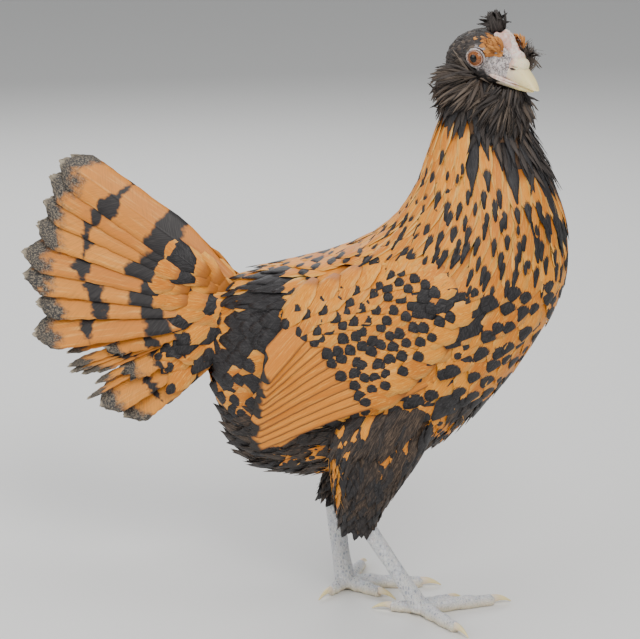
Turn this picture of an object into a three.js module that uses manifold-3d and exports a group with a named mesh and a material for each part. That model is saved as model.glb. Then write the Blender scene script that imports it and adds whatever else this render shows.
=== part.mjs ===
// A bearded hen with a small crest tuft, life size, standing still with its head turned to its right.
// Millimetres, +Z up, +X the way the body faces, +Y its left.
// The origin is the centre of the box, on the floor.
import * as THREE from "three";
import { mergeVertices } from "three/addons/utils/BufferGeometryUtils.js";
import Module from "manifold-3d";

const wasm = await Module();
wasm.setup();

// Driving dimensions
const GAP = 0.5;
const HEAD_YAW = 38;
const HEAD_PITCH = 6;
const EYES_AT = [68, 1, 374];
const EYE_APART = 13.2;
const EYE_RADIUS = 6.2;
const LID_OUT = 2.2;
const BEAK_REACH = 43;
const MOUTH_SLOPE = 6;
const MOUTH_HEIGHT = -11.2;
const NECK_CUT = 0.35;
const CUT_HALF = 0.0014;
const COVERT_DEEP = 5.5;
const COVERT_CLEARANCE = 3;
const FLIGHT_DEEP = 2.4;
const SECONDARIES = 8;
const PRIMARIES = 3;
const TAIL_ROOT = [-100, 0, 213];
const TAIL_PAIRS = 7;
const TAIL_COVERTS = 4;
const TAIL_TENT = 22;
const TAIL_ROLL = 10;

// Each station of neck and trunk: its point on the back, its point on the breast, its half width.
// The top of the neck leans aside, under the back of the turned head.
const STATIONS = [
  { back: [44, 366], front: [78, 362], half: 14, aside: 7 },
  { back: [35, 346], front: [86, 346], half: 19, aside: 5 },
  { back: [29, 322], front: [97, 324], half: 26, aside: 2 },
  { back: [24, 298], front: [109, 300], half: 34 },
  { back: [13, 273], front: [117, 276], half: 43 },
  { back: [-5, 256], front: [121, 248], half: 51 },
  { back: [-23, 246], front: [116, 216], half: 57 },
  { back: [-42, 240], front: [98, 183], half: 60 },
  { back: [-59, 235], front: [71, 146], half: 59 },
  { back: [-74, 231], front: [37, 113], half: 56 },
  { back: [-86, 228], front: [-6, 98], half: 51 },
  { back: [-96, 225], front: [-46, 87], half: 44 },
  { back: [-105, 219], front: [-82, 88], half: 34 },
  { back: [-113, 207], front: [-103, 104], half: 23 },
  { back: [-117, 190], front: [-112, 135], half: 11 },
];

const PLUMAGE = new THREE.MeshStandardMaterial({ color: 0xc9803a, roughness: 0.7, metalness: 0 });
const DARK_PLUMAGE = new THREE.MeshStandardMaterial({ color: 0x2a2423, roughness: 0.75, metalness: 0 });
const LEG_SKIN = new THREE.MeshStandardMaterial({ color: 0xc9cbd2, roughness: 0.6, metalness: 0 });
const HORN = new THREE.MeshStandardMaterial({ color: 0xe6dbb4, roughness: 0.4, metalness: 0 });
const COMB_SKIN = new THREE.MeshStandardMaterial({ color: 0xeeddd4, roughness: 0.55, metalness: 0 });
const EYE_GLOSS = new THREE.MeshStandardMaterial({ color: 0x8a4a1e, roughness: 0.1, metalness: 0 });

const radians = THREE.MathUtils.degToRad;
const lerp = THREE.MathUtils.lerp;
const smooth = THREE.MathUtils.smoothstep;
const vec = (x, y, z) => new THREE.Vector3(x, y, z);
const at = (p) => new THREE.Vector3(...p);
const sides = [
  { name: "right", sign: -1 },
  { name: "left", sign: 1 },
];

// A repeatable random draw between two limits.
function seeded(seed) {
  let state = seed;
  return (low, high) => {
    state = (state * 16807) % 2147483647;
    return lerp(low, high, state / 2147483647);
  };
}

// A closed geometry as a solid, facing out whichever way its rings run.
function solid(geometry) {
  const bare = geometry.clone();
  bare.deleteAttribute("normal");
  bare.deleteAttribute("uv");
  const merged = mergeVertices(bare, 1e-4);
  const triVerts = new Uint32Array(merged.index.array);
  const build = () =>
    new wasm.Manifold(
      new wasm.Mesh({ numProp: 3, vertProperties: merged.attributes.position.array, triVerts }),
    );
  const made = build();
  if (made.volume() >= 0) return made;
  for (let i = 0; i < triVerts.length; i += 3)
    [triVerts[i + 1], triVerts[i + 2]] = [triVerts[i + 2], triVerts[i + 1]];
  return build();
}

// The largest closed surface of a solid, as a geometry.
function geometryOf(made) {
  const largest = made.decompose().sort((a, b) => b.volume() - a.volume())[0];
  const shell = largest.getMesh();
  return new THREE.BufferGeometry()
    .setAttribute("position", new THREE.BufferAttribute(shell.vertProperties, 3))
    .setIndex(new THREE.BufferAttribute(shell.triVerts, 1));
}

const joined = (pieces) => wasm.Manifold.union(pieces);

// A closed tube of rings: ring(t) gives a centre and two half axes, and square rounds the section.
// With four sides the section is a flat rectangle.
function loft(steps, around, ring) {
  const [radius, start] = around === 4 ? [Math.SQRT2, Math.PI / 4] : [1, 0];
  const geometry = new THREE.CylinderGeometry(radius, radius, 1, around, steps, false, start);
  const position = geometry.attributes.position;
  for (let i = 0; i < position.count; i++) {
    const { centre, u, v, square = 1 } = ring(position.getY(i) + 0.5);
    const bend = (n) => Math.sign(n) * Math.abs(n) ** square;
    const p = centre
      .clone()
      .addScaledVector(u, bend(position.getX(i)))
      .addScaledVector(v, bend(position.getZ(i)));
    position.setXYZ(i, p.x, p.y, p.z);
  }
  return solid(geometry);
}

// A smooth reading of a list of points at t from 0 to 1.
function reading(points) {
  const curve = new THREE.CatmullRomCurve3(points.map(at), false, "catmullrom", 0.5);
  return (t) => curve.getPoint(THREE.MathUtils.clamp(t, 0, 1));
}

// The centre line of a form grown by the same amount at both of its ends.
function stretched(line, t, grow) {
  const ahead = line(t + 0.01).sub(line(t - 0.01)).normalize();
  const end = t <= 0 ? -1 : t >= 1 ? 1 : 0;
  return line(t).addScaledVector(ahead, grow * end);
}

// Rings given as centre and half sizes, lying along the two directions named by u and v.
function ringed(rings, grow, u, v, square = 1) {
  const centres = reading(rings.map((r) => r.at));
  const sizes = reading(rings.map((r) => [r.size[0], r.size[1], 0]));
  return (t) => ({
    centre: stretched(centres, t, grow),
    u: u.clone().multiplyScalar(sizes(t).x + grow),
    v: v.clone().multiplyScalar(sizes(t).y + grow),
    square,
  });
}

const ball = (centre, axes, grow = 0, detail = 14) =>
  solid(
    new THREE.SphereGeometry(1, detail, Math.round(detail * 0.7))
      .scale(axes[0] + grow, axes[1] + grow, axes[2] + grow)
      .translate(...centre),
  );

// Neck and trunk
const backLine = reading(STATIONS.map((s) => [s.back[0], s.aside ?? 0, s.back[1]]));
const frontLine = reading(STATIONS.map((s) => [s.front[0], s.aside ?? 0, s.front[1]]));
const halfWidth = reading(STATIONS.map((s, i) => [i, s.half, 0]));
const BODY_SQUARE = 0.92;

const spine = (t) => backLine(t).add(frontLine(t)).multiplyScalar(0.5);

function bodyRing(t, grow = 0) {
  const half = backLine(t).sub(frontLine(t)).multiplyScalar(0.5);
  half.setLength(half.length() + grow);
  return {
    centre: stretched(spine, t, grow),
    u: vec(0, halfWidth(t).y + grow, 0),
    v: half,
    square: BODY_SQUARE,
  };
}

const bodySolid = (grow, from, to, steps) =>
  loft(steps, 22, (t) => bodyRing(lerp(from, to, t), grow));
const trunkSolid = (grow = 0) => bodySolid(grow, NECK_CUT + CUT_HALF, 1, 18);
const neckSolid = (grow = 0) => bodySolid(grow, 0, NECK_CUT - CUT_HALF, 10);
const neckPlug = bodySolid(GAP, NECK_CUT - 0.01, NECK_CUT + 0.01, 1);
const bodyCut = joined([trunkSolid(GAP), neckSolid(GAP), neckPlug]);

// The point on one flank of the body that a spot of the side view falls on, raised off it by lift.
function flankPoint(x, z, sign, lift) {
  let low = 0;
  let high = 1;
  for (let i = 0; i < 24; i++) {
    const mid = (low + high) / 2;
    const back = backLine(mid);
    const reach = frontLine(mid).sub(back);
    if (reach.x * (z - back.z) - reach.z * (x - back.x) < 0) low = mid;
    else high = mid;
  }
  const { centre, u, v } = bodyRing(low, lift);
  const rise = vec(x, 0, z).sub(centre).dot(v) / v.lengthSq();
  const turn = Math.acos(Math.min(0.97, Math.abs(rise)) ** (1 / BODY_SQUARE));
  return vec(x, sign * u.y * Math.sin(turn) ** BODY_SQUARE, z);
}

// A path laid over a flank from one spot of the side view to another, with its outward direction.
function flankPath(from, to, sign, lift, roll) {
  const run = [to[0] - from[0], to[1] - from[1]];
  const place = (t, dx = 0, dz = 0) =>
    flankPoint(from[0] + run[0] * t + dx, from[1] + run[1] * t + dz, sign, lift(t));
  return (t) => {
    const alongX = place(t, 2, 0).sub(place(t, -2, 0));
    const alongZ = place(t, 0, 2).sub(place(t, 0, -2));
    const normal = alongX.cross(alongZ).normalize();
    if (normal.y * sign < 0) normal.negate();
    const ahead = vec(run[0], 0, run[1]).normalize();
    return { point: place(t), normal: normal.applyAxisAngle(ahead, radians(roll)) };
  };
}

// A path that leaves a root along a direction and droops towards another.
function sweep(root, direction, normal, length, droop) {
  return (t) => ({
    point: root
      .clone()
      .addScaledVector(direction, length * t)
      .addScaledVector(droop, length * t * t),
    normal: normal.clone(),
  });
}

// Outlines of a blade: its share of the full width at t from root to tip.
const rounded = (t) => 0.4 + 0.6 * smooth(t, 0, 0.45) - 0.72 * smooth(t, 0.74, 1.04);
const pointed = (t) => 0.6 + 0.4 * smooth(t, 0, 0.3) - 0.9 * smooth(t, 0.35, 1.03);

// A vane or lock: a flat blade with four sides that follows a path and tapers to its tip.
function blade(path, { wide, thick, steps = 4, shape = rounded, grow = 0 }) {
  return loft(steps, 4, (t) => {
    const { point, normal } = path(t);
    const ahead = path(Math.min(1, t + 0.02)).point.sub(path(Math.max(0, t - 0.02)).point);
    const side = normal.clone().cross(ahead).normalize();
    const face = ahead.cross(side).normalize();
    return {
      centre: point,
      u: side.multiplyScalar((wide / 2) * shape(t) + grow),
      v: face.multiplyScalar((thick / 2) * (1 - 0.35 * t) + grow),
    };
  });
}

const part = new THREE.Group();

function add(name, made, material) {
  const mesh = new THREE.Mesh(geometryOf(made), material);
  mesh.name = name;
  part.add(mesh);
}

// Head, drawn facing +X about the midpoint of the eyes and then turned into place.
const headFrame = new THREE.Matrix4().compose(
  at(EYES_AT),
  new THREE.Quaternion().setFromEuler(
    new THREE.Euler(0, radians(HEAD_PITCH), radians(-HEAD_YAW), "ZYX"),
  ),
  vec(1, 1, 1),
);
const turned = (made) => made.transform(headFrame.elements);

const SKULL = [
  { at: [-33, 0, -11], size: [7, 8] },
  { at: [-27, 0, -7], size: [14.5, 15] },
  { at: [-16, 0, -4], size: [17.5, 18.5] },
  { at: [-4, 0, -1.5], size: [16.5, 18.5] },
  { at: [8, 0, -1], size: [13, 16.5] },
  { at: [17, 0, -3], size: [10, 12.5] },
  { at: [22, 0, -4.5], size: [7.5, 9.5] },
];
const skullSolid = (grow = 0) => loft(9, 14, ringed(SKULL, grow, vec(0, 1, 0), vec(0, 0, 1), 0.95));
const eyeBall = (sign, grow = 0) =>
  ball([0.5, sign * EYE_APART, 0], [EYE_RADIUS, EYE_RADIUS, EYE_RADIUS], grow, 12);

const UPPER_BEAK = { from: 18, to: BEAK_REACH, high: 8.6, wide: 7.2, base: -4.6, tip: -14 };
const LOWER_BEAK = { from: 11, to: BEAK_REACH - 4.5, high: 4.6, wide: 6.4, base: -11.8, tip: -14.8 };

function beakSolid({ from, to, high, wide, base, tip }, grow = 0) {
  return loft(6, 10, (t) => {
    const reach = Math.sqrt(1.03 - t ** 1.8);
    return {
      centre: vec(lerp(from, to, t), 0, lerp(base, tip, t ** 1.5)),
      u: vec(0, wide * reach + grow, 0),
      v: vec(0, 0, high * reach * (1 - 0.25 * t) + grow),
      square: 0.9,
    };
  });
}

// One side of the mouth line, which runs down a little towards the tip.
function mouthSide(sign) {
  const slab = new THREE.BoxGeometry(90, 60, 40).translate(0, 0, sign * (20 + GAP / 2));
  return solid(slab.rotateY(radians(MOUTH_SLOPE)).translate(20, 0, MOUTH_HEIGHT));
}

const COMB_BUMPS = [
  [25, 0, 3.2, 6],
  [20.5, 3.4, 7.8, 5.2],
  [20, -3.4, 8.4, 5.2],
  [15.5, 4.4, 12.6, 4.8],
  [14.5, -4.2, 13.4, 4.8],
  [10.5, 0.4, 16.6, 5.8],
  [17, 0, 10.4, 6.2],
];
const combSolid = (grow = 0) =>
  joined(COMB_BUMPS.map(([x, y, z, r]) => ball([x, y, z], [r, r, r], grow, 8)));
const nostril = (sign) => ball([24.5, sign * 6.2, -0.4], [2.2, 1.8, 1.2], 0, 6);

function lid(sign) {
  const ring = new THREE.TorusGeometry(EYE_RADIUS - 0.3, 1.7, 6, 14);
  ring.rotateX(radians(90)).rotateZ(radians(-sign * 12));
  return solid(ring.translate(1, sign * (EYE_APART + LID_OUT), 0));
}

const skullCut = skullSolid(GAP);
const combCut = combSolid(GAP);
const upperBeak = beakSolid(UPPER_BEAK).intersect(mouthSide(1)).subtract(skullCut).subtract(combCut);
const lowerBeak = beakSolid(LOWER_BEAK).intersect(mouthSide(-1)).subtract(skullCut);
const comb = combSolid().subtract(joined([skullCut, nostril(1), nostril(-1)]));
const skull = joined([skullSolid(), lid(1), lid(-1)]).subtract(
  joined([eyeBall(1, GAP), eyeBall(-1, GAP)]),
);
add("head", turned(skull), DARK_PLUMAGE);
add("comb", turned(comb), COMB_SKIN);
add("beak_upper", turned(upperBeak), HORN);
add("beak_lower", turned(lowerBeak), HORN);
for (const { name, sign } of sides) add(`eye_${name}`, turned(eyeBall(sign)), EYE_GLOSS);

// Locks set over a rounded core: rows of roots, each lock lying back along the core and downwards.
function lockedCore({ centre, axes, rows, fall, long, wide, thick, seed }, grow = 0) {
  const draw = seeded(seed);
  const pieces = [ball(centre, axes, grow, 10)];
  for (const { up, from, to, count } of rows) {
    for (let k = 0; k < count; k++) {
      const turn = radians(lerp(from, to, k / (count - 1)) + draw(-4, 4));
      const rise = radians(up);
      const out = vec(Math.cos(rise) * Math.cos(turn), Math.cos(rise) * Math.sin(turn), Math.sin(rise));
      const root = at(centre).add(out.clone().multiply(at(axes)).multiplyScalar(0.82));
      const lie = out.clone().multiplyScalar(0.75).add(at(fall)).normalize();
      const path = sweep(root, lie, out, long * draw(0.85, 1.15), at(fall).multiplyScalar(0.3));
      pieces.push(blade(path, { wide, thick, shape: pointed, steps: 3, grow }));
    }
  }
  return joined(pieces);
}

const BEARD = {
  centre: [18, 0, -33],
  axes: [15, 16, 15],
  rows: [
    { up: 28, from: -105, to: 105, count: 7 },
    { up: 0, from: -95, to: 95, count: 7 },
    { up: -28, from: -85, to: 85, count: 6 },
    { up: -56, from: -60, to: 60, count: 4 },
  ],
  fall: [-0.1, 0, -1],
  long: 19,
  wide: 8.5,
  thick: 1.5,
  seed: 11,
};
const muffForm = (sign) => ({
  centre: [-6, sign * 19, -20],
  axes: [14, 8, 12],
  rows: [
    { up: 30, from: sign * 30, to: sign * 160, count: 4 },
    { up: -2, from: sign * 20, to: sign * 170, count: 4 },
    { up: -32, from: sign * 35, to: sign * 155, count: 3 },
  ],
  fall: [-0.8, 0, -0.65],
  long: 14,
  wide: 6.5,
  thick: 1.4,
  seed: 23 + sign,
});

const headCut = turned(joined([skullCut, beakSolid(LOWER_BEAK, GAP), eyeBall(1, GAP), eyeBall(-1, GAP)]));
const beard = turned(lockedCore(BEARD)).subtract(headCut).subtract(bodyCut);
const beardCut = turned(lockedCore(BEARD, GAP));
add("beard", beard, DARK_PLUMAGE);
for (const { name, sign } of sides) {
  const lidCut = ball([1, sign * (EYE_APART + LID_OUT), 0], [8.6, 4, 8.6]);
  const muff = lockedCore(muffForm(sign)).subtract(lidCut);
  add(`muff_${name}`, turned(muff).subtract(joined([headCut, bodyCut, beardCut])), DARK_PLUMAGE);
}

// Crest: a small tuft of upright feathers behind the comb, leaning back.
const CREST = {
  centre: [1, 0, 16],
  axes: [6.5, 6, 6],
  rows: [
    { up: 32, from: 80, to: 280, count: 4 },
    { up: 65, from: 0, to: 240, count: 3 },
  ],
  fall: [-0.45, 0, 0.35],
  long: 9.5,
  wide: 5.5,
  thick: 1.3,
  seed: 5,
};
const crest = lockedCore(CREST).subtract(joined([skullCut, combCut]));
add("crest", turned(crest), DARK_PLUMAGE);

add("neck", neckSolid().subtract(headCut), PLUMAGE);
add("trunk", trunkSolid(), PLUMAGE);

// Wings: a shell that hugs the flank, cut to the outline of the folded wing in two parts.
const COVERTS = [
  [66, 190],
  [74, 222],
  [62, 250],
  [38, 262],
  [8, 258],
  [-14, 242],
  [-22, 222],
  [-2, 204],
  [22, 188],
  [44, 172],
];
const FLIGHTS = [
  [46, 171],
  [0, 205],
  [-26, 224],
  [-46, 190],
  [-62, 166],
  [-64, 148],
  [-60, 134],
  [-40, 137],
  [-10, 148],
  [18, 160],
];
const WING_POINT = [-78, 126];

function flankShell(outline, sign, deep, grow = 0) {
  const corners = outline.map(([x, z]) => new THREE.Vector2(x, z));
  const middle = corners.reduce((sum, p) => sum.add(p), new THREE.Vector2()).divideScalar(corners.length);
  for (const p of corners) p.addScaledVector(p.clone().sub(middle).normalize(), grow * 2);
  const shape = new THREE.Shape(corners);
  const prism = new THREE.ExtrudeGeometry(shape, { depth: 90, bevelEnabled: false, curveSegments: 1 });
  prism.rotateX(radians(90)).translate(0, sign > 0 ? 100 : -10, 0);
  return bodySolid(deep + grow, 0.2, 1, 16).intersect(solid(prism));
}

const between = (a, b, share) => [lerp(a[0], b[0], share), lerp(a[1], b[1], share)];

// Feathers of one wing row: roots spread along one line, tips along another, each over the next below.
function wingRow({ roots, tips, count, wide, thick, lifts, roll }, sign, grow = 0) {
  const feathers = [];
  for (let k = 0; k < count; k++) {
    const share = k / (count - 1);
    const from = between(roots[0], roots[1], share);
    const to = between(tips[0], tips[1], share);
    const lift = (t) => lerp(lifts[0], lifts[1], smooth(t, 0, 0.35));
    const path = flankPath(from, to, sign, lift, -sign * roll);
    feathers.push(blade(path, { wide, thick, steps: 3, grow }));
  }
  return joined(feathers);
}

const FLIGHT_ROWS = [
  {
    roots: [[30, 168], [0, 160]],
    tips: [[-56, 127], [-34, 131]],
    count: PRIMARIES,
    wide: 12,
    thick: 0.8,
    lifts: [1.4, 1.9],
    roll: 6,
  },
  {
    roots: [[38, 176], [-22, 220]],
    tips: [WING_POINT, [-70, 168]],
    count: SECONDARIES,
    wide: 17,
    thick: 0.9,
    lifts: [1.5, 4.4],
    roll: 11,
  },
];
const COVERT_ROWS = [
  { roots: [[42, 184], [-12, 230]], tips: [[14, 170], [-30, 208]], deep: 0 },
  { roots: [[54, 194], [4, 240]], tips: [[28, 180], [-16, 217]], deep: 1.1 },
  { roots: [[64, 208], [22, 248]], tips: [[40, 193], [2, 226]], deep: 2.2 },
].map(({ roots, tips, deep }) => ({
  roots,
  tips,
  count: 5,
  wide: 16,
  thick: 0.9,
  lifts: [3.5, COVERT_DEEP + 1.6 + deep * 0.4],
  roll: 9,
}));

const wingCuts = [];
for (const { name, sign } of sides) {
  const covertShell = (grow) => flankShell(COVERTS, sign, COVERT_DEEP, grow);
  const rows = (list, grow) => list.map((row) => wingRow(row, sign, grow));
  const coverts = joined([covertShell(0), ...rows(COVERT_ROWS, 0)]).subtract(bodyCut);
  const clearShell = flankShell(COVERTS, sign, COVERT_DEEP + COVERT_CLEARANCE, GAP);
  const covertsCut = joined([clearShell, ...rows(COVERT_ROWS, GAP)]);
  const flightForm = joined([flankShell(FLIGHTS, sign, FLIGHT_DEEP), ...rows(FLIGHT_ROWS, 0)]);
  const flights = flightForm.subtract(joined([bodyCut, covertsCut]));
  add(`wing_coverts_${name}`, coverts, PLUMAGE);
  add(`wing_flights_${name}`, flights, PLUMAGE);
  wingCuts.push(flankShell(FLIGHTS, sign, FLIGHT_DEEP, GAP), ...rows(FLIGHT_ROWS, GAP));
}

// Tail: a tent of overlapping feathers whose two halves lean together over a soft core.
const halfSpace = (sign) =>
  solid(new THREE.BoxGeometry(400, 200, 500).translate(-100, sign * (100 + GAP / 2), 200));

// Tail feathers are counted from the top, and the shorter side coverts follow below them.
function tailFeather(index, sign) {
  const main = Math.min(1, index / (TAIL_PAIRS - 1));
  const below = Math.max(0, index - TAIL_PAIRS + 1);
  const rise = radians(lerp(38, -6, main) - below * 9.5);
  const spread = radians(lerp(3, 13, main) - below);
  const direction = vec(
    -Math.cos(rise) * Math.cos(spread),
    sign * Math.cos(rise) * Math.sin(spread),
    Math.sin(rise),
  );
  const normal = vec(0, sign * Math.cos(radians(TAIL_TENT)), Math.sin(radians(TAIL_TENT)));
  normal.applyAxisAngle(direction, radians(-sign * TAIL_ROLL));
  const root = at(TAIL_ROOT).add(vec(0, sign * lerp(6, 9, main), lerp(4, -10, main) - below * 4));
  return { root, direction, normal, long: lerp(147, 125, main) - below * 9.5 };
}

for (const { name, sign } of sides) {
  const vanes = [];
  for (let index = 0; index < TAIL_PAIRS + TAIL_COVERTS; index++) {
    const { root, direction, normal, long } = tailFeather(index, sign);
    const path = sweep(root, direction, normal, long, vec(0, 0, -0.03));
    vanes.push(blade(path, { wide: 27, thick: 1.5, steps: 4 }));
  }
  const core = ball([-114, sign * 7, 203], [30, 11, 24]);
  const half = joined([core, ...vanes]).intersect(halfSpace(sign)).subtract(bodyCut);
  add(`tail_${name}`, half, PLUMAGE);
}

// Legs
const LEGS = {
  right: {
    thigh: [
      { at: [6, -33, 142], size: [38, 18] },
      { at: [0, -34, 112], size: [31, 18] },
      { at: [-8, -32, 84], size: [20, 14.5] },
      { at: [-12, -29, 64], size: [13, 11] },
      { at: [-12, -28, 53], size: [7.5, 7.5] },
    ],
    shank: [
      { at: [-11, -28, 68], size: [6.5, 6] },
      { at: [-3, -28, 56], size: [6.6, 5.4] },
      { at: [15, -27, 29], size: [6.2, 5] },
      { at: [26, -26, 12], size: [7, 6.2] },
      { at: [30, -25, 2], size: [7.5, 8] },
    ],
    ankle: [30, -25],
    toes: { middle: [87, 8], outer: [68, -61], inner: [54, 7], back: [-3, -24] },
  },
  left: {
    thigh: [
      { at: [0, 30, 142], size: [36, 18] },
      { at: [-10, 30, 112], size: [30, 18] },
      { at: [-24, 24, 88], size: [20, 14.5] },
      { at: [-36, 17, 66], size: [13, 11] },
      { at: [-39, 14, 54], size: [7, 7] },
    ],
    shank: [
      { at: [-40, 14, 70], size: [6.5, 6] },
      { at: [-37, 13, 57], size: [6.6, 5.4] },
      { at: [-32, 11, 28], size: [6.2, 5] },
      { at: [-29, 10, 11], size: [7, 6.2] },
      { at: [-28, 10, 2], size: [7.5, 8] },
    ],
    ankle: [-28, 10],
    toes: { middle: [36, 27], outer: [-23, 61], inner: [10, -6], back: [-41, -18] },
  },
};
const TOE_RADIUS = { middle: 4.9, outer: 4.6, inner: 4.6, back: 4.1 };
const CLAW_LONG = 13;
const TOE_HIGH = 4.4;
const aboveFloor = solid(new THREE.BoxGeometry(600, 400, 500).translate(0, 0, 250));

function toePath(ankle, tip) {
  const start = vec(ankle[0], ankle[1], TOE_HIGH + 1);
  const run = vec(tip[0] - ankle[0], tip[1] - ankle[1], 0);
  const long = run.length() - CLAW_LONG;
  run.normalize();
  return { start, run, long, across: vec(-run.y, run.x, 0) };
}

function toeSolid({ start, run, long, across }, radius, grow = 0) {
  return loft(6, 7, (t) => {
    const pad = 1 + 0.07 * Math.cos(t * Math.PI * 6);
    const size = radius * lerp(1.12, 0.8, t) * pad * (t > 0.96 ? 0.8 : 1);
    const centre = start.clone().addScaledVector(run, long * t + grow * (t * 2 - 1));
    return {
      centre: centre.setZ(lerp(TOE_HIGH + 1, 3.4, t)),
      u: across.clone().multiplyScalar(size + grow),
      v: vec(0, 0, size + grow),
    };
  });
}

function clawSolid({ start, run, long, across }, radius) {
  return loft(4, 6, (t) => ({
    centre: start
      .clone()
      .addScaledVector(run, long - 3 + (CLAW_LONG + 3) * t)
      .setZ(3.8 + 1.3 * Math.sin(Math.PI * t) - 2.6 * t ** 2),
    u: across.clone().multiplyScalar(lerp(radius * 0.52, 0.5, t ** 1.3)),
    v: vec(0, 0, lerp(radius * 0.66, 0.6, t ** 1.2)),
  }));
}

for (const { name } of sides) {
  const { thigh, shank, ankle, toes } = LEGS[name];
  const round = (rings, grow, steps, around) =>
    loft(steps, around, ringed(rings, grow, vec(1, 0, 0), vec(0, 1, 0)));
  const shankCut = round(shank, GAP, 9, 12);
  const thighCuts = joined([bodyCut, shankCut, ...wingCuts]);
  add(`thigh_${name}`, round(thigh, 0, 9, 16).subtract(thighCuts), DARK_PLUMAGE);
  add(`shank_${name}`, round(shank, 0, 9, 12).intersect(aboveFloor), LEG_SKIN);
  let taken = shankCut;
  for (const toe of ["middle", "outer", "inner", "back"]) {
    const path = toePath(ankle, toes[toe]);
    const radius = TOE_RADIUS[toe];
    const whole = toeSolid(path, radius).intersect(aboveFloor);
    add(`toe_${toe}_${name}`, whole.subtract(taken), LEG_SKIN);
    const claw = clawSolid(path, radius).subtract(toeSolid(path, radius, GAP));
    add(`claw_${toe}_${name}`, claw.intersect(aboveFloor), HORN);
    taken = joined([taken, toeSolid(path, radius, GAP)]);
  }
}

// The centre of the whole box, on the floor, becomes the origin.
const box = new THREE.Box3().setFromObject(part);
const middle = box.getCenter(vec(0, 0, 0)).setZ(box.min.z);
for (const mesh of part.children) mesh.geometry.translate(-middle.x, -middle.y, -middle.z);

export default part;
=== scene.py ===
import math

import bpy
import numpy as np
from mathutils import Euler, Matrix, Vector, noise


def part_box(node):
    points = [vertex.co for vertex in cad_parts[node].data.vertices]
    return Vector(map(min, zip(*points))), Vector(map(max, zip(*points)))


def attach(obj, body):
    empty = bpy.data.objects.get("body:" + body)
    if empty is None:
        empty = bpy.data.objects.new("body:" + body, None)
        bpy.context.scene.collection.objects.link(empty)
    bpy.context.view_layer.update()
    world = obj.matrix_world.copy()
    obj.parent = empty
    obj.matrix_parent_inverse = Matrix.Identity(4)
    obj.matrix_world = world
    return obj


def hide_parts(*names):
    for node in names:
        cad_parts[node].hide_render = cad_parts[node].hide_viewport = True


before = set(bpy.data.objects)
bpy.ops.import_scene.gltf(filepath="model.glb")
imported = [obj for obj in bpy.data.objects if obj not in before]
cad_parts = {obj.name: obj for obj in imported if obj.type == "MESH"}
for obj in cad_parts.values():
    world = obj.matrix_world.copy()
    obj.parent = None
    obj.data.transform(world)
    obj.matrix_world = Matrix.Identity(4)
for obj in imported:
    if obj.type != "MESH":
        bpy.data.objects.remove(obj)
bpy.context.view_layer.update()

# Skin
# The living bird's skin under its coat, seen only where feathers part. It is one closed surface over
# neck, trunk and thighs, drawn from stations along the spine and sunk under the depth of the coat.
STATIONS = [
    ((44, 7, 366), (78, 7, 362), 14),
    ((35, 5, 346), (86, 5, 346), 19),
    ((29, 2, 322), (97, 2, 324), 26),
    ((24, 0, 298), (109, 0, 300), 34),
    ((13, 0, 273), (117, 0, 276), 43),
    ((-5, 0, 256), (121, 0, 248), 51),
    ((-23, 0, 246), (116, 0, 216), 57),
    ((-42, 0, 240), (98, 0, 183), 60),
    ((-59, 0, 235), (71, 0, 146), 59),
    ((-74, 0, 231), (37, 0, 113), 56),
    ((-86, 0, 228), (-6, 0, 98), 51),
    ((-96, 0, 225), (-46, 0, 87), 44),
    ((-105, 0, 219), (-82, 0, 88), 34),
    ((-113, 0, 207), (-103, 0, 104), 23),
    ((-117, 0, 190), (-112, 0, 135), 11),
]
COAT_DEPTH = 4.4
EYES_AT = Vector((68, 1, 374))
EYE_APART = 13.2
EYE_RADIUS = 6.2
HEAD_TURN = Euler((0, math.radians(6), math.radians(-38)), "XYZ")
HEAD = Matrix.Translation(EYES_AT) @ HEAD_TURN.to_matrix().to_4x4()

# The solids' own origin lies ahead of this one: the right eye tells by how much.
eye_low, eye_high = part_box("eye_right")
EYE_RIGHT = HEAD @ Vector((0.5, -EYE_APART, 0))
OFFSET = np.array((eye_low + eye_high) / 2) - np.array(EYE_RIGHT) * 0.001
OFFSET[2] = 0


def unit(v):
    return v / np.maximum(np.linalg.norm(v, axis=-1, keepdims=True), 1e-9)


def full_turn(count):
    return np.linspace(0, 2 * math.pi, count, endpoint=False)


def smooth_step(low, high, x):
    s = np.clip((np.asarray(x, float) - low) / (high - low), 0, 1)
    return s * s * (3 - 2 * s)


def curve_through(points):
    p = np.array(points, float).reshape(len(points), -1)
    ends = np.vstack([2 * p[0] - p[1], p, 2 * p[-1] - p[-2]])

    def at(t):
        s = np.clip(np.asarray(t, float), 0, 1) * (len(p) - 1)
        i = np.minimum(s.astype(int), len(p) - 2)
        f = (s - i)[..., None]
        a, b, c, d = ends[i], ends[i + 1], ends[i + 2], ends[i + 3]
        square, cube = 2 * a - 5 * b + 4 * c - d, 3 * b - a - 3 * c + d
        return 0.5 * (2 * b + (c - a) * f + square * f**2 + cube * f**3)

    return at


back_line = curve_through([s[0] for s in STATIONS])
breast_line = curve_through([s[1] for s in STATIONS])
half_width = curve_through([[s[2]] for s in STATIONS])


# How round the body is in section: 1 is a true oval, and less is fuller at its corners.
ROUNDNESS = 0.92


def bent(n, power=ROUNDNESS):
    return np.sign(n) * np.abs(n) ** power


# A point of neck or trunk: t runs from head to tail, and angle 0 is the back, 90 the left flank.
def body_point(t, angle, lift):
    t, turn = np.asarray(t, float), np.radians(np.asarray(angle, float))
    back, front = back_line(t), breast_line(t)
    half = (back - front) / 2
    half = half * (1 + np.asarray(lift)[..., None] / np.linalg.norm(half, axis=-1, keepdims=True))
    across = np.zeros_like(half)
    across[..., 1] = half_width(t)[..., 0] + lift
    return (back + front) / 2 + half * bent(np.cos(turn))[..., None] + across * bent(np.sin(turn))[..., None]


def loop_corners(mesh):
    corner = np.zeros(len(mesh.loops), int)
    mesh.loops.foreach_get("vertex_index", corner)
    return corner


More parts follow.
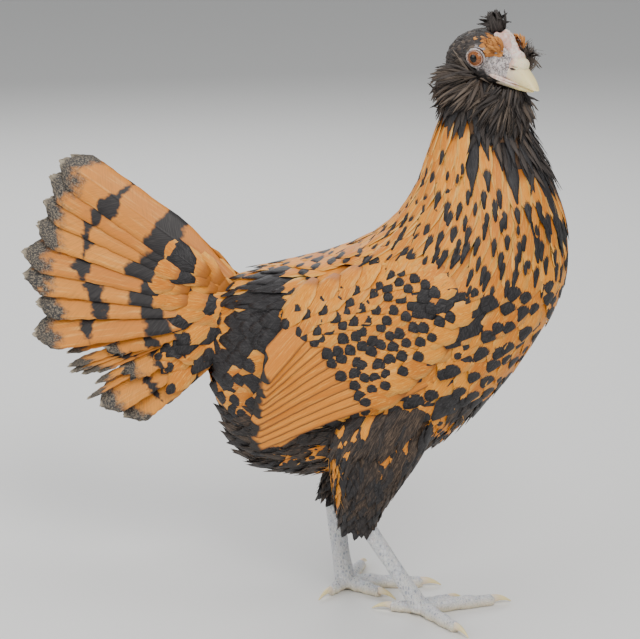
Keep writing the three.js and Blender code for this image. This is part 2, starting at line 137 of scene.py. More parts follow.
def mesh_object(name, vertices, faces, uvs=None):
    mesh = bpy.data.meshes.new(name)
    mesh.from_pydata([tuple(v * 0.001 + OFFSET) for v in np.asarray(vertices, float)], [], faces)
    if uvs is not None:
        layer = mesh.uv_layers.new(name="UVMap")
        layer.data.foreach_set("uv", np.asarray(uvs, float)[loop_corners(mesh)].ravel())
    mesh.polygons.foreach_set("use_smooth", [True] * len(mesh.polygons))
    mesh.update()
    piece = bpy.data.objects.new(name.replace(" ", "_"), mesh)
    bpy.context.scene.collection.objects.link(piece)
    return piece


# A closed tube through rows of rings, its ends drawn in to a point of their own.
def tube(name, rings):
    rings = np.asarray(rings, float)
    rows, around = rings.shape[:2]
    points = np.vstack([rings.reshape(-1, 3), rings[0].mean(0), rings[-1].mean(0)])
    faces = []
    for r in range(rows - 1):
        for k in range(around):
            n = (k + 1) % around
            faces.append((r * around + k, r * around + n, (r + 1) * around + n, (r + 1) * around + k))
    first, last = rows * around, rows * around + 1
    for k in range(around):
        n = (k + 1) % around
        faces.append((first, n, k))
        faces.append((last, (rows - 1) * around + k, (rows - 1) * around + n))
    v, u = np.meshgrid(np.linspace(0, 1, rows), np.linspace(0, 1, around, endpoint=False), indexing="ij")
    uvs = np.vstack([np.stack([u, v], -1).reshape(-1, 2), [0.5, 0], [0.5, 1]])
    piece = mesh_object(name, points, faces, uvs)
    face_out(piece)
    return piece


def face_out(piece):
    mesh = piece.data
    co = np.zeros(len(mesh.vertices) * 3)
    mesh.vertices.foreach_get("co", co)
    co = co.reshape(-1, 3)
    mesh.calc_loop_triangles()
    tri = np.array([t.vertices[:] for t in mesh.loop_triangles])
    a, b, c = co[tri[:, 0]], co[tri[:, 1]], co[tri[:, 2]]
    if np.einsum("ij,ij->i", a, np.cross(b, c)).sum() < 0:
        mesh.flip_normals()


def made_plain(piece):
    view = bpy.context.evaluated_depsgraph_get()
    mesh = bpy.data.meshes.new_from_object(piece.evaluated_get(view))
    piece.modifiers.clear()
    piece.data = mesh


# Closed pieces joined and skinned over as one surface, its joins eased.
def grown_together(pieces, fineness, rounds):
    bpy.ops.object.select_all(action="DESELECT")
    for piece in pieces:
        piece.select_set(True)
    whole = pieces[0]
    bpy.context.view_layer.objects.active = whole
    bpy.ops.object.join()
    weld = whole.modifiers.new("one surface", "REMESH")
    weld.mode, weld.voxel_size = "VOXEL", fineness
    whole.modifiers.new("eased joins", "SMOOTH").iterations = rounds
    made_plain(whole)
    whole.data.polygons.foreach_set("use_smooth", [True] * len(whole.data.polygons))
    return whole


def ring_rows(path, sizes, sides_axis, deep_axis, rows, around, ripple=None):
    centres, radii = curve_through(path), curve_through(sizes)
    t = np.linspace(0, 1, rows)
    turn = full_turn(around)
    c, r = centres(t)[:, None, :], radii(t)[:, None, :]
    grown = 1 if ripple is None else ripple(t[:, None], turn[None, :])[..., None]
    side = np.array(sides_axis, float) * (r[..., 0:1] * np.cos(turn)[None, :, None]) * grown
    deep = np.array(deep_axis, float) * (r[..., 1:2] * np.sin(turn)[None, :, None]) * grown
    return c + side + deep


THIGHS = {
    "right": (
        [(6, -33, 142), (0, -34, 112), (-8, -32, 84), (-12, -29, 66), (-12, -28, 59)],
        [(38, 18), (31, 18), (20, 14.5), (12, 10), (7, 6.5)],
    ),
    "left": (
        [(0, 30, 142), (-10, 30, 112), (-24, 24, 88), (-35, 18, 69), (-37, 15, 61)],
        [(36, 18), (30, 18), (20, 14.5), (12, 10), (7, 6.5)],
    ),
}
SKULL_PATH = [
    (-33, 0, -11),
    (-27, 0, -7),
    (-16, 0, -4),
    (-4, 0, -1.5),
    (8, 0, -1),
    (17, 0, -3),
    (22, 0, -4.5),
]
SKULL_SIZE = [(7, 8), (14.5, 15), (17.5, 18.5), (16.5, 18.5), (13, 16.5), (10, 12.5), (7.5, 9.5)]


def in_head(points):
    return np.asarray(points, float) @ np.array(HEAD.to_3x3()).T + np.array(EYES_AT)


# Sizes less the depth of fluff or down that lies over the skin there.
def sunk(sizes, depth):
    return [(a - depth, b - depth) for a, b in sizes]


LEG_AXES = (1, 0, 0), (0, 1, 0)
HEAD_AXES = (0, 1, 0), (0, 0, 1)
THIGH_FLUFF, NAPE_DOWN, FACE_DOWN = 3.5, 2, 0.7
steps, around = 60, 48
t_rows = np.repeat(np.linspace(0, 1, steps)[:, None], around, 1)
turns = np.repeat(np.linspace(0, 360, around, endpoint=False)[None, :], steps, 0)
flesh = [tube("skin", body_point(t_rows, turns, -COAT_DEPTH))]
for path, sizes in THIGHS.values():
    flesh.append(tube("thigh flesh", ring_rows(path, sunk(sizes, THIGH_FLUFF), *LEG_AXES, 24, 32)))
nape = ring_rows(SKULL_PATH[:5], sunk(SKULL_SIZE[:5], NAPE_DOWN), *HEAD_AXES, 20, 32)
flesh.append(tube("nape flesh", in_head(nape)))
skin = grown_together(flesh, 0.0024, 8)


# Shader sums are written as expressions on sockets.
class Value:
    def __init__(self, tree, socket):
        self.tree, self.socket = tree, socket

    def node(self, kind, sockets=(), out=0, **settings):
        made = self.tree.nodes.new(kind)
        for key, value in settings.items():
            setattr(made, key, value)
        for key, value in dict(sockets).items():
            if isinstance(value, Value):
                self.tree.links.new(value.socket, made.inputs[key])
            elif value is not None:
                made.inputs[key].default_value = value
        return Value(self.tree, made.outputs[out])

    def _sum(self, kind, *others):
        return self.node("ShaderNodeMath", dict(enumerate((self, *others))), operation=kind)

    def __add__(self, other):
        return self._sum("ADD", other)

    def __sub__(self, other):
        return self._sum("SUBTRACT", other)

    def __mul__(self, other):
        return self._sum("MULTIPLY", other)

    def __truediv__(self, other):
        return self._sum("DIVIDE", other)

    def __pow__(self, other):
        return self._sum("POWER", other)

    def __rsub__(self, other):
        return self.node("ShaderNodeMath", {0: other, 1: self}, operation="SUBTRACT")

    def __rtruediv__(self, other):
        return self.node("ShaderNodeMath", {0: other, 1: self}, operation="DIVIDE")

    __radd__, __rmul__ = __add__, __mul__

    def abs(self):
        return self._sum("ABSOLUTE")

    def most(self, other):
        return self._sum("MAXIMUM", other)

    def between(self, low, high):
        ends = {"Value": self, "From Min": low, "From Max": high}
        return self.node("ShaderNodeMapRange", ends, interpolation_type="SMOOTHSTEP")

    def mix(self, first, second):
        pair = {"Factor": self, 6: colour(first), 7: colour(second)}
        return self.node("ShaderNodeMix", pair, out=2, data_type="RGBA")


def colour(c):
    return (*c, 1.0) if isinstance(c, tuple) and len(c) == 3 else c


def finish_named(name, roughness=0.6, **constants):
    material = bpy.data.materials.new(name)
    material.use_nodes = True
    shader = material.node_tree.nodes["Principled BSDF"]
    shader.inputs["Roughness"].default_value = roughness
    for key, value in constants.items():
        shader.inputs[key.replace("_", " ")].default_value = value
    start = Value(material.node_tree, None)
    return material, shader, start


def into(shader, socket, value):
    value.tree.links.new(value.socket, shader.inputs[socket])


def raised(start, shader, height, strength, distance):
    bump = start.node("ShaderNodeBump", {"Height": height, "Strength": strength, "Distance": distance})
    into(shader, "Normal", bump)


def own_place(start):
    return start.node("ShaderNodeTexCoord", out=3)


def noise_on(start, place, scale, detail=3.0):
    sockets = {"Vector": place, "Scale": scale, "Detail": detail, "Roughness": 0.6}
    return start.node("ShaderNodeTexNoise", sockets)


skin_finish, shader, s = finish_named("down covered skin", roughness=0.9)
place = own_place(s)
down = noise_on(s, place, 90.0).between(0.35, 0.7)
into(shader, "Base Color", down.mix((0.12, 0.06, 0.025), (0.035, 0.028, 0.026)))
skin.data.materials.append(skin_finish)
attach(skin, "root")
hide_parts("neck", "trunk", "thigh_right", "thigh_left")

# Body feathers
# Each contour feather is a thin curved vane, gold with a black spangle at its tip. It is rooted in the
# skin and laid back so that its tip rests on the feathers behind it, closer set than it is long.


# A thin closed vane one long and one wide, from its root at the origin towards +Y, facing +Z.
# Its own map is the true flat shape of the feather.
def vane_pattern(name, columns, rows, outline, round_tip, camber, fray, seed, thick=0.014):
    draw = np.random.default_rng(seed)
    v = np.linspace(0, 1, rows + 1) ** 0.85
    u = np.linspace(-1, 1, columns + 1)
    grid_v, grid_u = np.meshgrid(v, u, indexing="ij")
    ragged = fray * draw.uniform(-1, 1, grid_v.shape) * smooth_step(0.45, 1.0, grid_v)
    x = grid_u * outline(grid_v) / 2 * (1 + 0.6 * ragged)
    y = grid_v * (1 - round_tip * grid_u**2 * smooth_step(0.4, 1.0, grid_v)) + 0.5 * ragged
    z = 0.4 * grid_v * (1 - grid_v) - camber * (2 * x) ** 2
    top = np.stack([x, y, z], -1).reshape(-1, 3)
    edge = (1 - 0.8 * np.abs(grid_u)) * (1 - 0.7 * grid_v)
    under = top - np.stack([0 * x, 0 * x, thick * edge + 0.002], -1).reshape(-1, 3)
    flat = np.stack([x + 0.5, y], -1).reshape(-1, 2)
    points, faces = sheet_faces(top, under, columns, rows)
    return feather_pattern(name, points, faces, np.vstack([flat, flat]))


def sheet_faces(top, under, columns, rows):
    wide, count = columns + 1, len(top)
    faces = []
    for r in range(rows):
        for c in range(columns):
            a = r * wide + c
            faces.append((a, a + 1, a + wide + 1, a + wide))
            faces.append((count + a + wide, count + a + wide + 1, count + a + 1, count + a))
    rim = [*range(wide), *[r * wide + columns for r in range(1, rows + 1)]]
    rim += [rows * wide + c for c in range(columns - 1, -1, -1)] + [r * wide for r in range(rows - 1, 0, -1)]
    for a, b in zip(rim, rim[1:] + rim[:1]):
        faces.append((b, a, count + a, count + b))
    return np.vstack([top, under]), faces


def feather_pattern(name, points, faces, flat):
    piece = mesh_object(name, points, faces, flat)
    piece.data.transform(Matrix.Translation(-Vector(OFFSET)))
    piece.data.transform(Matrix.Scale(1000, 4))
    face_out(piece)
    return piece


# A loose tuft of fine barbs, for down and fluffed feathers.
def tuft_pattern(name, strands, spread_out, droop, seed, wide):
    draw = np.random.default_rng(seed)
    points, faces, flat, cuts = [], [], [], 2
    for k in range(strands):
        side = spread_out * (2 * k / (strands - 1) - 1) + draw.uniform(-0.06, 0.06)
        long = draw.uniform(0.75, 1.0) * (1 - 0.25 * abs(side) / spread_out)
        rise = draw.uniform(0.05, 0.3)
        start = len(points)
        for c in range(cuts + 1):
            w = c / cuts
            centre = np.array([side * w**0.8, long * w, rise * w - droop * w**2])
            size = wide * (1 - 0.85 * w)
            for turn in (0, 2.1, 4.2):
                points.append(centre + size * np.array([math.cos(turn), 0, 0.6 * math.sin(turn)]))
                flat.append((0.5 + side / spread_out * 0.45, w))
        for c in range(cuts):
            for k3 in range(3):
                a, b = start + c * 3 + k3, start + c * 3 + (k3 + 1) % 3
                faces.append((a, a + 3, b + 3, b))
        faces.append((start, start + 1, start + 2))
        end = start + cuts * 3
        faces.append((end + 2, end + 1, end))
    return feather_pattern(name, np.array(points), faces, np.array(flat))


def contour_outline(v):
    return (0.35 + 0.65 * smooth_step(0, 0.4, v)) * (1 - 0.35 * smooth_step(0.7, 1.0, v))


def hackle_outline(v):
    return (0.5 + 0.5 * smooth_step(0, 0.3, v)) * (1 - 0.62 * smooth_step(0.5, 1.0, v))


# Every feather of a coat is set on its root by one tree of nodes, turned to its lie and made real.
def coat_tree():
    tree = bpy.data.node_groups.new("feathering", "GeometryNodeTree")
    sockets = (("Roots", "Geometry"), ("Feather", "Object"), ("Finish", "Material"), ("Fullness", "Float"))
    for label, kind in sockets:
        tree.interface.new_socket(label, in_out="INPUT", socket_type=f"NodeSocket{kind}")
    tree.interface.new_socket("Coat", in_out="OUTPUT", socket_type="NodeSocketGeometry")

    def step(kind, inputs, **settings):
        made = tree.nodes.new(kind)
        for key, value in settings.items():
            setattr(made, key, value)
        for key, socket in inputs.items():
            tree.links.new(socket, made.inputs[key])
        return made.outputs

    def stored(label):
        made = step("GeometryNodeInputNamedAttribute", {}, data_type="FLOAT_VECTOR")
        made["Attribute"].node.inputs["Name"].default_value = label
        return made["Attribute"]

    given = step("NodeGroupInput", {})
    feather = step("GeometryNodeObjectInfo", {"Object": given["Feather"]})
    turn_kind = "FunctionNodeAlignRotationToVector"
    outward = step(turn_kind, {"Vector": stored("out")}, axis="Z", pivot_axis="AUTO")
    lie = {"Rotation": outward["Rotation"], "Vector": stored("aim")}
    along = step(turn_kind, lie, axis="Y", pivot_axis="Z")
    full = step("ShaderNodeVectorMath", {0: stored("size"), "Scale": given["Fullness"]}, operation="SCALE")
    planting = {
        "Points": given["Roots"],
        "Instance": feather["Geometry"],
        "Rotation": along["Rotation"],
        "Scale": full["Vector"],
    }
    planted = step("GeometryNodeInstanceOnPoints", planting)
    real = step("GeometryNodeRealizeInstances", {"Geometry": planted["Instances"]})
    finished = step("GeometryNodeSetMaterial", {"Geometry": real["Geometry"], "Material": given["Finish"]})
    step("NodeGroupOutput", {"Coat": finished["Geometry"]})
    return tree


feathering = coat_tree()
BAKE_PATCH = 0.003


# Roots hold for each feather its place, lie, outward direction, size, paints and its spot on the bake.
def coat(name, roots, pattern, finish, slot_name, *nodes):
    mesh = bpy.data.meshes.new(name)
    mesh.from_pydata([tuple(p * 0.001 + OFFSET) for p in roots["at"]], [], [])
    for label in ("aim", "out", "size", "bake"):
        made = mesh.attributes.new(label, "FLOAT_VECTOR", "POINT")
        values = np.asarray(roots[label], float) * (0.001 if label == "size" else 1)
        made.data.foreach_set("vector", values.astype(np.float32).ravel())
    for label in ("tone", "mark", "dark"):
        made = mesh.attributes.new(label, "FLOAT", "POINT")
        made.data.foreach_set("value", np.asarray(roots[label], np.float32))
    piece = bpy.data.objects.new(name.replace(" ", "_"), mesh)
    bpy.context.scene.collection.objects.link(piece)
    grown = piece.modifiers.new("feathers", "NODES")
    grown.node_group = feathering
    names = {item.name: item.identifier for item in feathering.interface.items_tree if item.in_out == "INPUT"}
    grown[names["Feather"]], grown[names["Finish"]], grown[names["Fullness"]] = pattern, finish, 1.0
    made_plain(piece)
    mesh = piece.data
    spot = np.zeros(len(mesh.vertices) * 3, np.float32)
    mesh.attributes["bake"].data.foreach_get("vector", spot)
    own = np.zeros(len(mesh.loops) * 2, np.float32)
    mesh.uv_layers["UVMap"].data.foreach_get("uv", own)
    patch = spot.reshape(-1, 3)[loop_corners(mesh)][:, :2] + (own.reshape(-1, 2) - 0.5) * BAKE_PATCH
    layer = mesh.uv_layers.new(name="OFBake")
    layer.data.foreach_set("uv", patch.astype(np.float32).ravel())
    for label in ("aim", "out", "size", "bake"):
        mesh.attributes.remove(mesh.attributes[label])
    mesh.polygons.foreach_set("use_smooth", [True] * len(mesh.polygons))
    mesh.update()
    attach(piece, "root")
    if nodes:
        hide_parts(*nodes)


# Spots spread evenly over a surface: kept only where none lies nearer than the gap wanted there.
def spread(candidates, gap, seed):
    cells, kept = {}, []
    order = np.random.default_rng(seed).permutation(len(candidates))
    size = float(np.max(gap))
    for i in order:
        p, need = candidates[i], gap[i]
        key = tuple((p // size).astype(int))
        near = (
            q
            for dx in (-1, 0, 1)
            for dy in (-1, 0, 1)
            for dz in (-1, 0, 1)
            for q in cells.get((key[0] + dx, key[1] + dy, key[2] + dz), ())
        )
        if all(np.sum((candidates[q] - p) ** 2) >= need * need for q in near):
            cells.setdefault(key, []).append(i)
            kept.append(i)
    return np.array(sorted(kept), int)


def body_out(t, angle, lift):
    here = body_point(t, angle, lift)
    ahead = body_point(t + 0.006, angle, lift) - body_point(t - 0.006, angle, lift)
    round_it = body_point(t, angle + 1.5, lift) - body_point(t, angle - 1.5, lift)
    out = unit(np.cross(ahead, round_it))
    centre = (back_line(t) + breast_line(t)) / 2
    return out * np.sign(np.sum(out * (here - centre), -1, keepdims=True))


# The lie of feathers between root and tip, and how far each must bow to clear the place between.
def lie_between(root, tip, middle, out):
    aim = unit(tip - root)
    out = unit(out - aim * np.sum(out * aim, -1, keepdims=True))
    bow = np.sum((middle - (root + tip) / 2) * out, -1)
    return aim, out, bow


# A pattern's own arch stands this high for a feather one long.
PATTERN_ARCH = 0.1


def arched(bow, long, most=2.0):
    return np.clip(bow / PATTERN_ARCH, 0.3 * long, most * long)


def lie_on_body(t, angle, long, tip_height, sway):
    root = body_point(t, angle, -COAT_DEPTH + 0.3)
    out = body_out(t, angle, -COAT_DEPTH + 0 * t)
    ahead, behind = body_point(t + 0.01, angle, 0 * t), body_point(t - 0.01, angle, 0 * t)
    speed = np.linalg.norm(ahead - behind, axis=-1) / 0.02
    step = long / speed
    tip = body_point(np.minimum(t + step, 1), angle + sway, tip_height - COAT_DEPTH)
    middle = body_point(np.minimum(t + step / 2, 1), angle + sway / 2, tip_height * 0.6 - COAT_DEPTH)
    short = t + step > 1
    tip[short] = (root + unit(tip - root) * long[:, None])[short]
    aim, out, bow = lie_between(root, tip, middle, out)
    return root, aim, out, np.where(short, 1.0, bow)


def blob(p, centre, radius):
    d = (p - np.array(centre)) / np.array(radius)
    return np.exp(-np.sum(d * d, -1))


# Where the folded wing covers the flank, seen from the side.
UNDER_WING = [(40, 190), (48, 216), (42, 238), (24, 250), (2, 250), (-16, 240)]
UNDER_WING += [(-36, 208), (-56, 176), (-60, 152), (-50, 142), (-18, 154), (14, 170)]


def under_wing(p):
    x, z = p[:, 0], p[:, 2]
    inside = np.zeros(len(p), bool)
    for (x1, z1), (x2, z2) in zip(UNDER_WING, UNDER_WING[1:] + UNDER_WING[:1]):
        crosses = (z1 > z) != (z2 > z)
        inside ^= crosses & (x < (x2 - x1) * (z - z1) / (z2 - z1 + 1e-9) + x1)
    return inside & (np.abs(p[:, 1]) > 22)


CANDIDATES = 60000
GAP, NECK_CLOSER, FLUFF_CLOSER = 8.6, 2.8, 2.6
draw = np.random.default_rng(7)
t_all = draw.uniform(0.0, 0.985, CANDIDATES)
angle_all = draw.uniform(-180, 180, CANDIDATES)
p_all = body_point(t_all, angle_all, -COAT_DEPTH + 0 * t_all)
neck_all = smooth_step(0.4, 0.26, t_all)
low_flank = smooth_step(160, 140, p_all[:, 2] - 0.25 * np.clip(p_all[:, 0], -60, 60))
fluffy_all = np.clip(low_flank * smooth_step(90, 60, p_all[:, 0]), 0, 1)
gap_all = GAP - NECK_CLOSER * neck_all - FLUFF_CLOSER * fluffy_all
picked = np.flatnonzero(~under_wing(p_all))
picked = picked[spread(p_all[picked], gap_all[picked], 3)]
T, A, P = t_all[picked], angle_all[picked], p_all[picked]
NECK, FLUFF = neck_all[picked], fluffy_all[picked]


# The black of the throat ends on a slope that falls from behind the muffs to the top of the breast.
BIB_BACK, BIB_HEIGHT, BIB_SLOPE = 30, 337, 0.68


def above_bib(p):
    return p[:, 2] - (BIB_HEIGHT - BIB_SLOPE * (p[:, 0] - BIB_BACK))


# The black band behind the wing starts here and runs so far back and down.
BAND_X, BAND_Z, BAND_BACK, BAND_DOWN = -50, 222, 39, 68
BAND_SQUARED = BAND_BACK**2 + BAND_DOWN**2


# How black the coat is at a place: bib, throat, shoulder, the band behind the wing, foot of the breast.
def darkness(p):
    side = p * (1, 0, 1)
    bib = smooth_step(6, 24, above_bib(p))
    throat = blob(p, (106, 0, 288), (20, 24, 26)) * 0.75
    shoulder = 0.95 * blob(side, (64, 0, 234), (19, 1, 17)) * (np.abs(p[:, 1]) > 18)
    step = np.clip(((p[:, 0] - BAND_X) * -BAND_BACK + (p[:, 2] - BAND_Z) * -BAND_DOWN) / BAND_SQUARED, 0, 1)
    off_band = np.hypot(p[:, 0] - BAND_X + BAND_BACK * step, p[:, 2] - BAND_Z + BAND_DOWN * step)
    behind_wing = 1.1 * np.exp(-((off_band / 13) ** 2)) * (np.abs(p[:, 1]) > 12)
    breast_foot = 0.7 * smooth_step(200, 160, p[:, 2]) * smooth_step(50, 80, p[:, 0])
    return np.clip(bib + throat + shoulder + behind_wing + breast_foot, 0, 1)


GOLD_PATCHES = [(48, 156, 9), (26, 143, 8), (10, 128, 6), (-23, 117, 7)]
GOLD_PATCHES += [(-22, 99, 6), (-46, 112, 5), (58, 140, 5)]


# Wholly black feathers are 1, brown black fluff is between, gold is 0.
def painted(p, fluffy, seed, mark_low=0.95, mark_high=1.5):
    d = np.random.default_rng(seed)
    black = (d.uniform(0, 1, len(p)) < darkness(p) ** 1.2).astype(float)
    patch = sum(blob(p * (1, 0, 1), (x, 0, z), (r, 1, r)) for x, z, r in GOLD_PATCHES)
    sooty = fluffy > d.uniform(0.2, 0.8, len(p))
    gold_here = sooty & (patch > d.uniform(0.25, 0.7, len(p)))
    black[sooty] = d.uniform(0.55, 1.0, sooty.sum())
    black[gold_here] = 0
    mark = d.uniform(mark_low, mark_high, len(p)) * (1 + 0.35 * darkness(p))
    mark[d.uniform(0, 1, len(p)) < 0.12] *= 0.5
    mark[gold_here] *= 0.5
    return d.uniform(0, 1, len(p)), mark, black


def rooted(keep, long, wide, tip_height, seed, sway=2.2, **marks):
    d = np.random.default_rng(seed + 1)
    n = keep.sum()
    longs = long * d.uniform(0.88, 1.12, n)
    heights = tip_height * d.uniform(0.85, 1.15, n) + 2.5 * near_wing[keep]
    at, aim, out, bow = lie_on_body(T[keep], A[keep], longs, heights, d.normal(0, sway, n))
    tone, mark, dark = painted(P[keep], FLUFF[keep], seed, **marks)
    size = np.stack([wide * d.uniform(0.9, 1.12, n), longs, arched(bow, longs, 2.2)], -1)
    bake = np.stack([(A[keep] / 360 + 0.5) * 0.5, T[keep] * 0.98 + 0.01, 0 * T[keep]], -1)
    lie = {"at": at, "aim": aim, "out": out, "size": size}
    return {**lie, "tone": tone, "mark": mark, "dark": dark, "bake": bake}


near_wing = blob(P * (1, 0, 1), (56, 0, 216), (16, 1, 30)) * (np.abs(P[:, 1]) > 22)


# The flat map of one feather: u runs across it and v along it, from 0 at its root.
def own_map(start):
    flat = start.node("ShaderNodeUVMap", uv_map="UVMap")
    u = flat.node("ShaderNodeSeparateXYZ", {0: flat})
    return u, Value(u.tree, u.socket.node.outputs[1])


# What each feather was given when it was set: its tone, the size of its mark, how black it is.
def stored_paints(start, *labels):
    return [start.node("ShaderNodeAttribute", out=2, attribute_name=label) for label in labels]


def noise_at(start, place, detail):
    return noise_on(start, start.node("ShaderNodeCombineXYZ", dict(enumerate(place))), 1.0, detail)


# Gold with a black spangle near the tip, in the feather's own flat shape, or all black.
def spangled(name, spot_wide, spot_long, spot_at, soft, half_at, fringe):
    finish, shader, s = finish_named(name, roughness=0.55, Specular_IOR_Level=0.3)
    u, v = own_map(s)
    tone, mark, dark = stored_paints(s, "tone", "mark", "dark")
    across = (u - 0.5).abs()
    streaks = noise_at(s, (u * 26.0, (v - across * 0.5) * 5.0, tone * 37.0), 3.0)
    barbs = noise_at(s, (across * 6.0, (v - across * 0.7) * 64.0, tone * 31.0), 2.0)
    wide, long = (u - 0.5) / (mark * spot_wide), (v - spot_at) / (mark * spot_long)
    ring = (wide**2.0 + long**2.0) ** 0.5 + (streaks - 0.5) * soft + (barbs - 0.5) * soft
    spangle = ring.between(1.06, 0.94)
    gold = (tone * 0.7 + v * 0.3).between(0.0, 1.0).mix((0.58, 0.165, 0.009), (0.84, 0.31, 0.02))
    gold = (streaks.between(0.5, 0.75) * 0.75).mix(gold, (0.93, 0.55, 0.12))
    gold = (streaks.between(0.45, 0.25) * 0.65).mix(gold, (0.4, 0.1, 0.008))
    gold = ((across / half_at(v)).between(0.5, 1.0) * fringe).mix(gold, (0.94, 0.6, 0.17))
    gold = (barbs.between(0.5, 0.7) * 0.35).mix(gold, (0.42, 0.12, 0.01))
    gold = v.between(0.3, 0.1).mix(gold, (0.42, 0.14, 0.02))
    sheen = (barbs * 0.6 + streaks * 0.4).between(0.42, 0.66) * 0.8
    jet = sheen.mix((0.011, 0.01, 0.011), (0.062, 0.058, 0.06))
    sooty = (streaks.between(0.42, 0.68) * 0.85).mix((0.026, 0.018, 0.014), (0.15, 0.1, 0.065))
    black = dark.between(0.55, 0.98).mix(sooty, jet)
    black = dark.between(0.3, 0.0).mix(black, jet)
    into(shader, "Base Color", spangle.most(dark.between(0.2, 0.4)).mix(gold, black))
    quill = across.between(0.03, 0.0)
    raised(s, shader, barbs * 0.5 + streaks * 0.4 + quill, 0.3, 0.0004)
    return finish


# Half the width of each kind of feather at v, as its outline draws it.
def contour_half(v):
    return (0.175 + v.between(0.0, 0.4) * 0.325) * (1 - v.between(0.7, 1.0) * 0.35)


def hackle_half(v):
    return (0.25 + v.between(0.0, 0.3) * 0.25) * (1 - v.between(0.5, 1.0) * 0.62)


plumage = spangled("gold plumage, round black spangles", 0.235, 0.145, 0.86, 0.5, contour_half, 0.35)
hackle_plumage = spangled("gold hackle, long black spangles", 0.21, 0.14, 0.87, 0.7, hackle_half, 0.8)
breast_vane = vane_pattern("breast feather", 4, 6, contour_outline, 0.24, 0.06, 0.07, 1)
hackle_vane = vane_pattern("hackle feather", 4, 6, hackle_outline, 0.14, 0.05, 0.05, 2)
shaggy_vane = vane_pattern("shaggy feather", 4, 6, hackle_outline, 0.1, 0.12, 0.22, 4)
fluff_tuft = tuft_pattern("fluff", 8, 0.42, 0.34, 3, wide=0.032)

hackles = NECK > 0.4
bib_zone = (above_bib(P) > 15) & (T < 0.3)
saddle = ~hackles & (T > 0.5) & (np.abs(A) < 50)
loose = ~hackles & (FLUFF > 0.5)
rest = ~hackles & ~loose & ~saddle
coat("breast and flank feathers", rooted(rest, 31, 19, 4.4, 11), breast_vane, plumage, "gold_plumage")
narrow = {"mark_low": 1.0, "mark_high": 1.8}
hackle_roots = rooted(hackles, 38, 8.6, 4.2, 13, **narrow)
in_bib = bib_zone[hackles]
hackle_roots["dark"][in_bib] = 1.0
hackle_roots["size"][in_bib] *= (0.55, 0.68, 0.68)
coat("hackle", hackle_roots, hackle_vane, hackle_plumage, "gold_plumage")
saddle_roots = rooted(saddle, 37, 12, 4.2, 15, **narrow)
coat("saddle feathers", saddle_roots, hackle_vane, hackle_plumage, "gold_plumage")
coat("belly feathers", rooted(loose, 24, 12, 4.2, 17, sway=7.0), shaggy_vane, plumage, "dark_plumage")
fluff_roots = rooted(loose, 25, 26, 6.5, 19, sway=9.0)
fluff_roots["size"][:, 2] = 22
coat("belly fluff", fluff_roots, fluff_tuft, plumage, "dark_plumage")
bib_roots = rooted(bib_zone, 22, 3.2, 5.2, 21, sway=10.0)

# Thigh feathers
# Soft loose feathers that clothe the leg down to the hock, brown black with a few gold patches. They
# start within the flank feathers, so that trunk and leg run together.
THIGH_COAT = 3.2
for side, (path, sizes) in THIGHS.items():
    centres, radii = curve_through(path), curve_through(sizes)
    draw = np.random.default_rng(31 if side == "right" else 32)
    t, turn = draw.uniform(0.0, 0.74, 8000), draw.uniform(0, 2 * math.pi, 8000)

    def leg_point(t, turn, lift):
        r = radii(t) + np.asarray(lift)[..., None]
        return centres(t) + np.stack([np.cos(turn) * r[:, 0], np.sin(turn) * r[:, 1], 0 * turn], -1)

    here = leg_point(t, turn, -THIGH_COAT + 0 * t)
    keep = spread(here, 5.4 - 1.4 * t, 5)
    t, turn, n = t[keep], turn[keep], len(keep)
    long = (27 - 20 * t) * draw.uniform(0.9, 1.1, n)
    leg_long = np.linalg.norm(np.diff(np.array(path, float), axis=0), axis=1).sum()
    ahead = np.minimum(t + long / leg_long, 1)
    root = leg_point(t, turn, -THIGH_COAT + 0 * t)
    tip = leg_point(ahead, turn + draw.normal(0, 0.16, n), 1.8 + 0 * t)
    past = t + long / leg_long > 1
    over = (t + long / leg_long - 1) * leg_long
    tip[past] += unit(centres(ahead) - centres(ahead - 0.05))[past] * over[past, None]
    outward = np.stack([np.cos(turn), np.sin(turn), 0 * turn], -1)
    aim, out, bow = lie_between(root, tip, leg_point((t + ahead) / 2, turn, -0.2 + 0 * t), outward)
    tone, mark, dark = painted(root, np.ones(n), 33)
    size = np.stack([13 - 4 * t, long, arched(bow, long)], -1)
    bake = np.stack([0.55 + turn / 30 + (0.22 if side == "left" else 0), 0.02 + t * 0.2, 0 * t], -1)
    roots = {"at": root, "aim": aim, "out": out, "size": size}
    roots |= {"tone": tone, "mark": mark, "dark": dark, "bake": bake}
    coat(f"thigh feathers {side}", roots, shaggy_vane, plumage, "dark_plumage")
    roots["size"] = np.stack([24 - 10 * t, 1.15 * long, 0.9 * long], -1)
    coat(f"thigh fluff {side}", roots, fluff_tuft, plumage, "dark_plumage")

# Wings
# Folded against the flank: rows of coverts with black spangles over plain gold flight feathers whose
# tips meet in a point. Flight feathers are single long vanes that follow the curve of the body.
WING_POINT = (-78, 124)
HALVINGS = 22


# The point of the flank that lies so far ahead and so high. The station it falls on is found by halving.
def flank_point(x, z, sign, lift):
    x, z, lift = np.broadcast_arrays(np.asarray(x, float), np.asarray(z, float), np.asarray(lift, float))
    low, high = np.zeros(x.shape), np.ones(x.shape)
    for _ in range(HALVINGS):
        mid = (low + high) / 2
        back = back_line(mid)
        reach = breast_line(mid) - back
        past = reach[..., 0] * (z - back[..., 2]) - reach[..., 2] * (x - back[..., 0]) < 0
        low, high = np.where(past, mid, low), np.where(past, high, mid)
    back, front = back_line(low), breast_line(low)
    half = (back - front) / 2
    long = np.linalg.norm(half, axis=-1)
    offset = np.stack([x, 0 * x, z], -1) - (back + front) / 2
    rise = np.sum(offset * half, -1) / long / (long + lift)
    turn = np.arccos(np.clip(np.abs(rise), 0, 0.97) ** (1 / ROUNDNESS))
    return np.stack([x, sign * (half_width(low)[..., 0] + lift) * np.sin(turn) ** ROUNDNESS, z], -1)


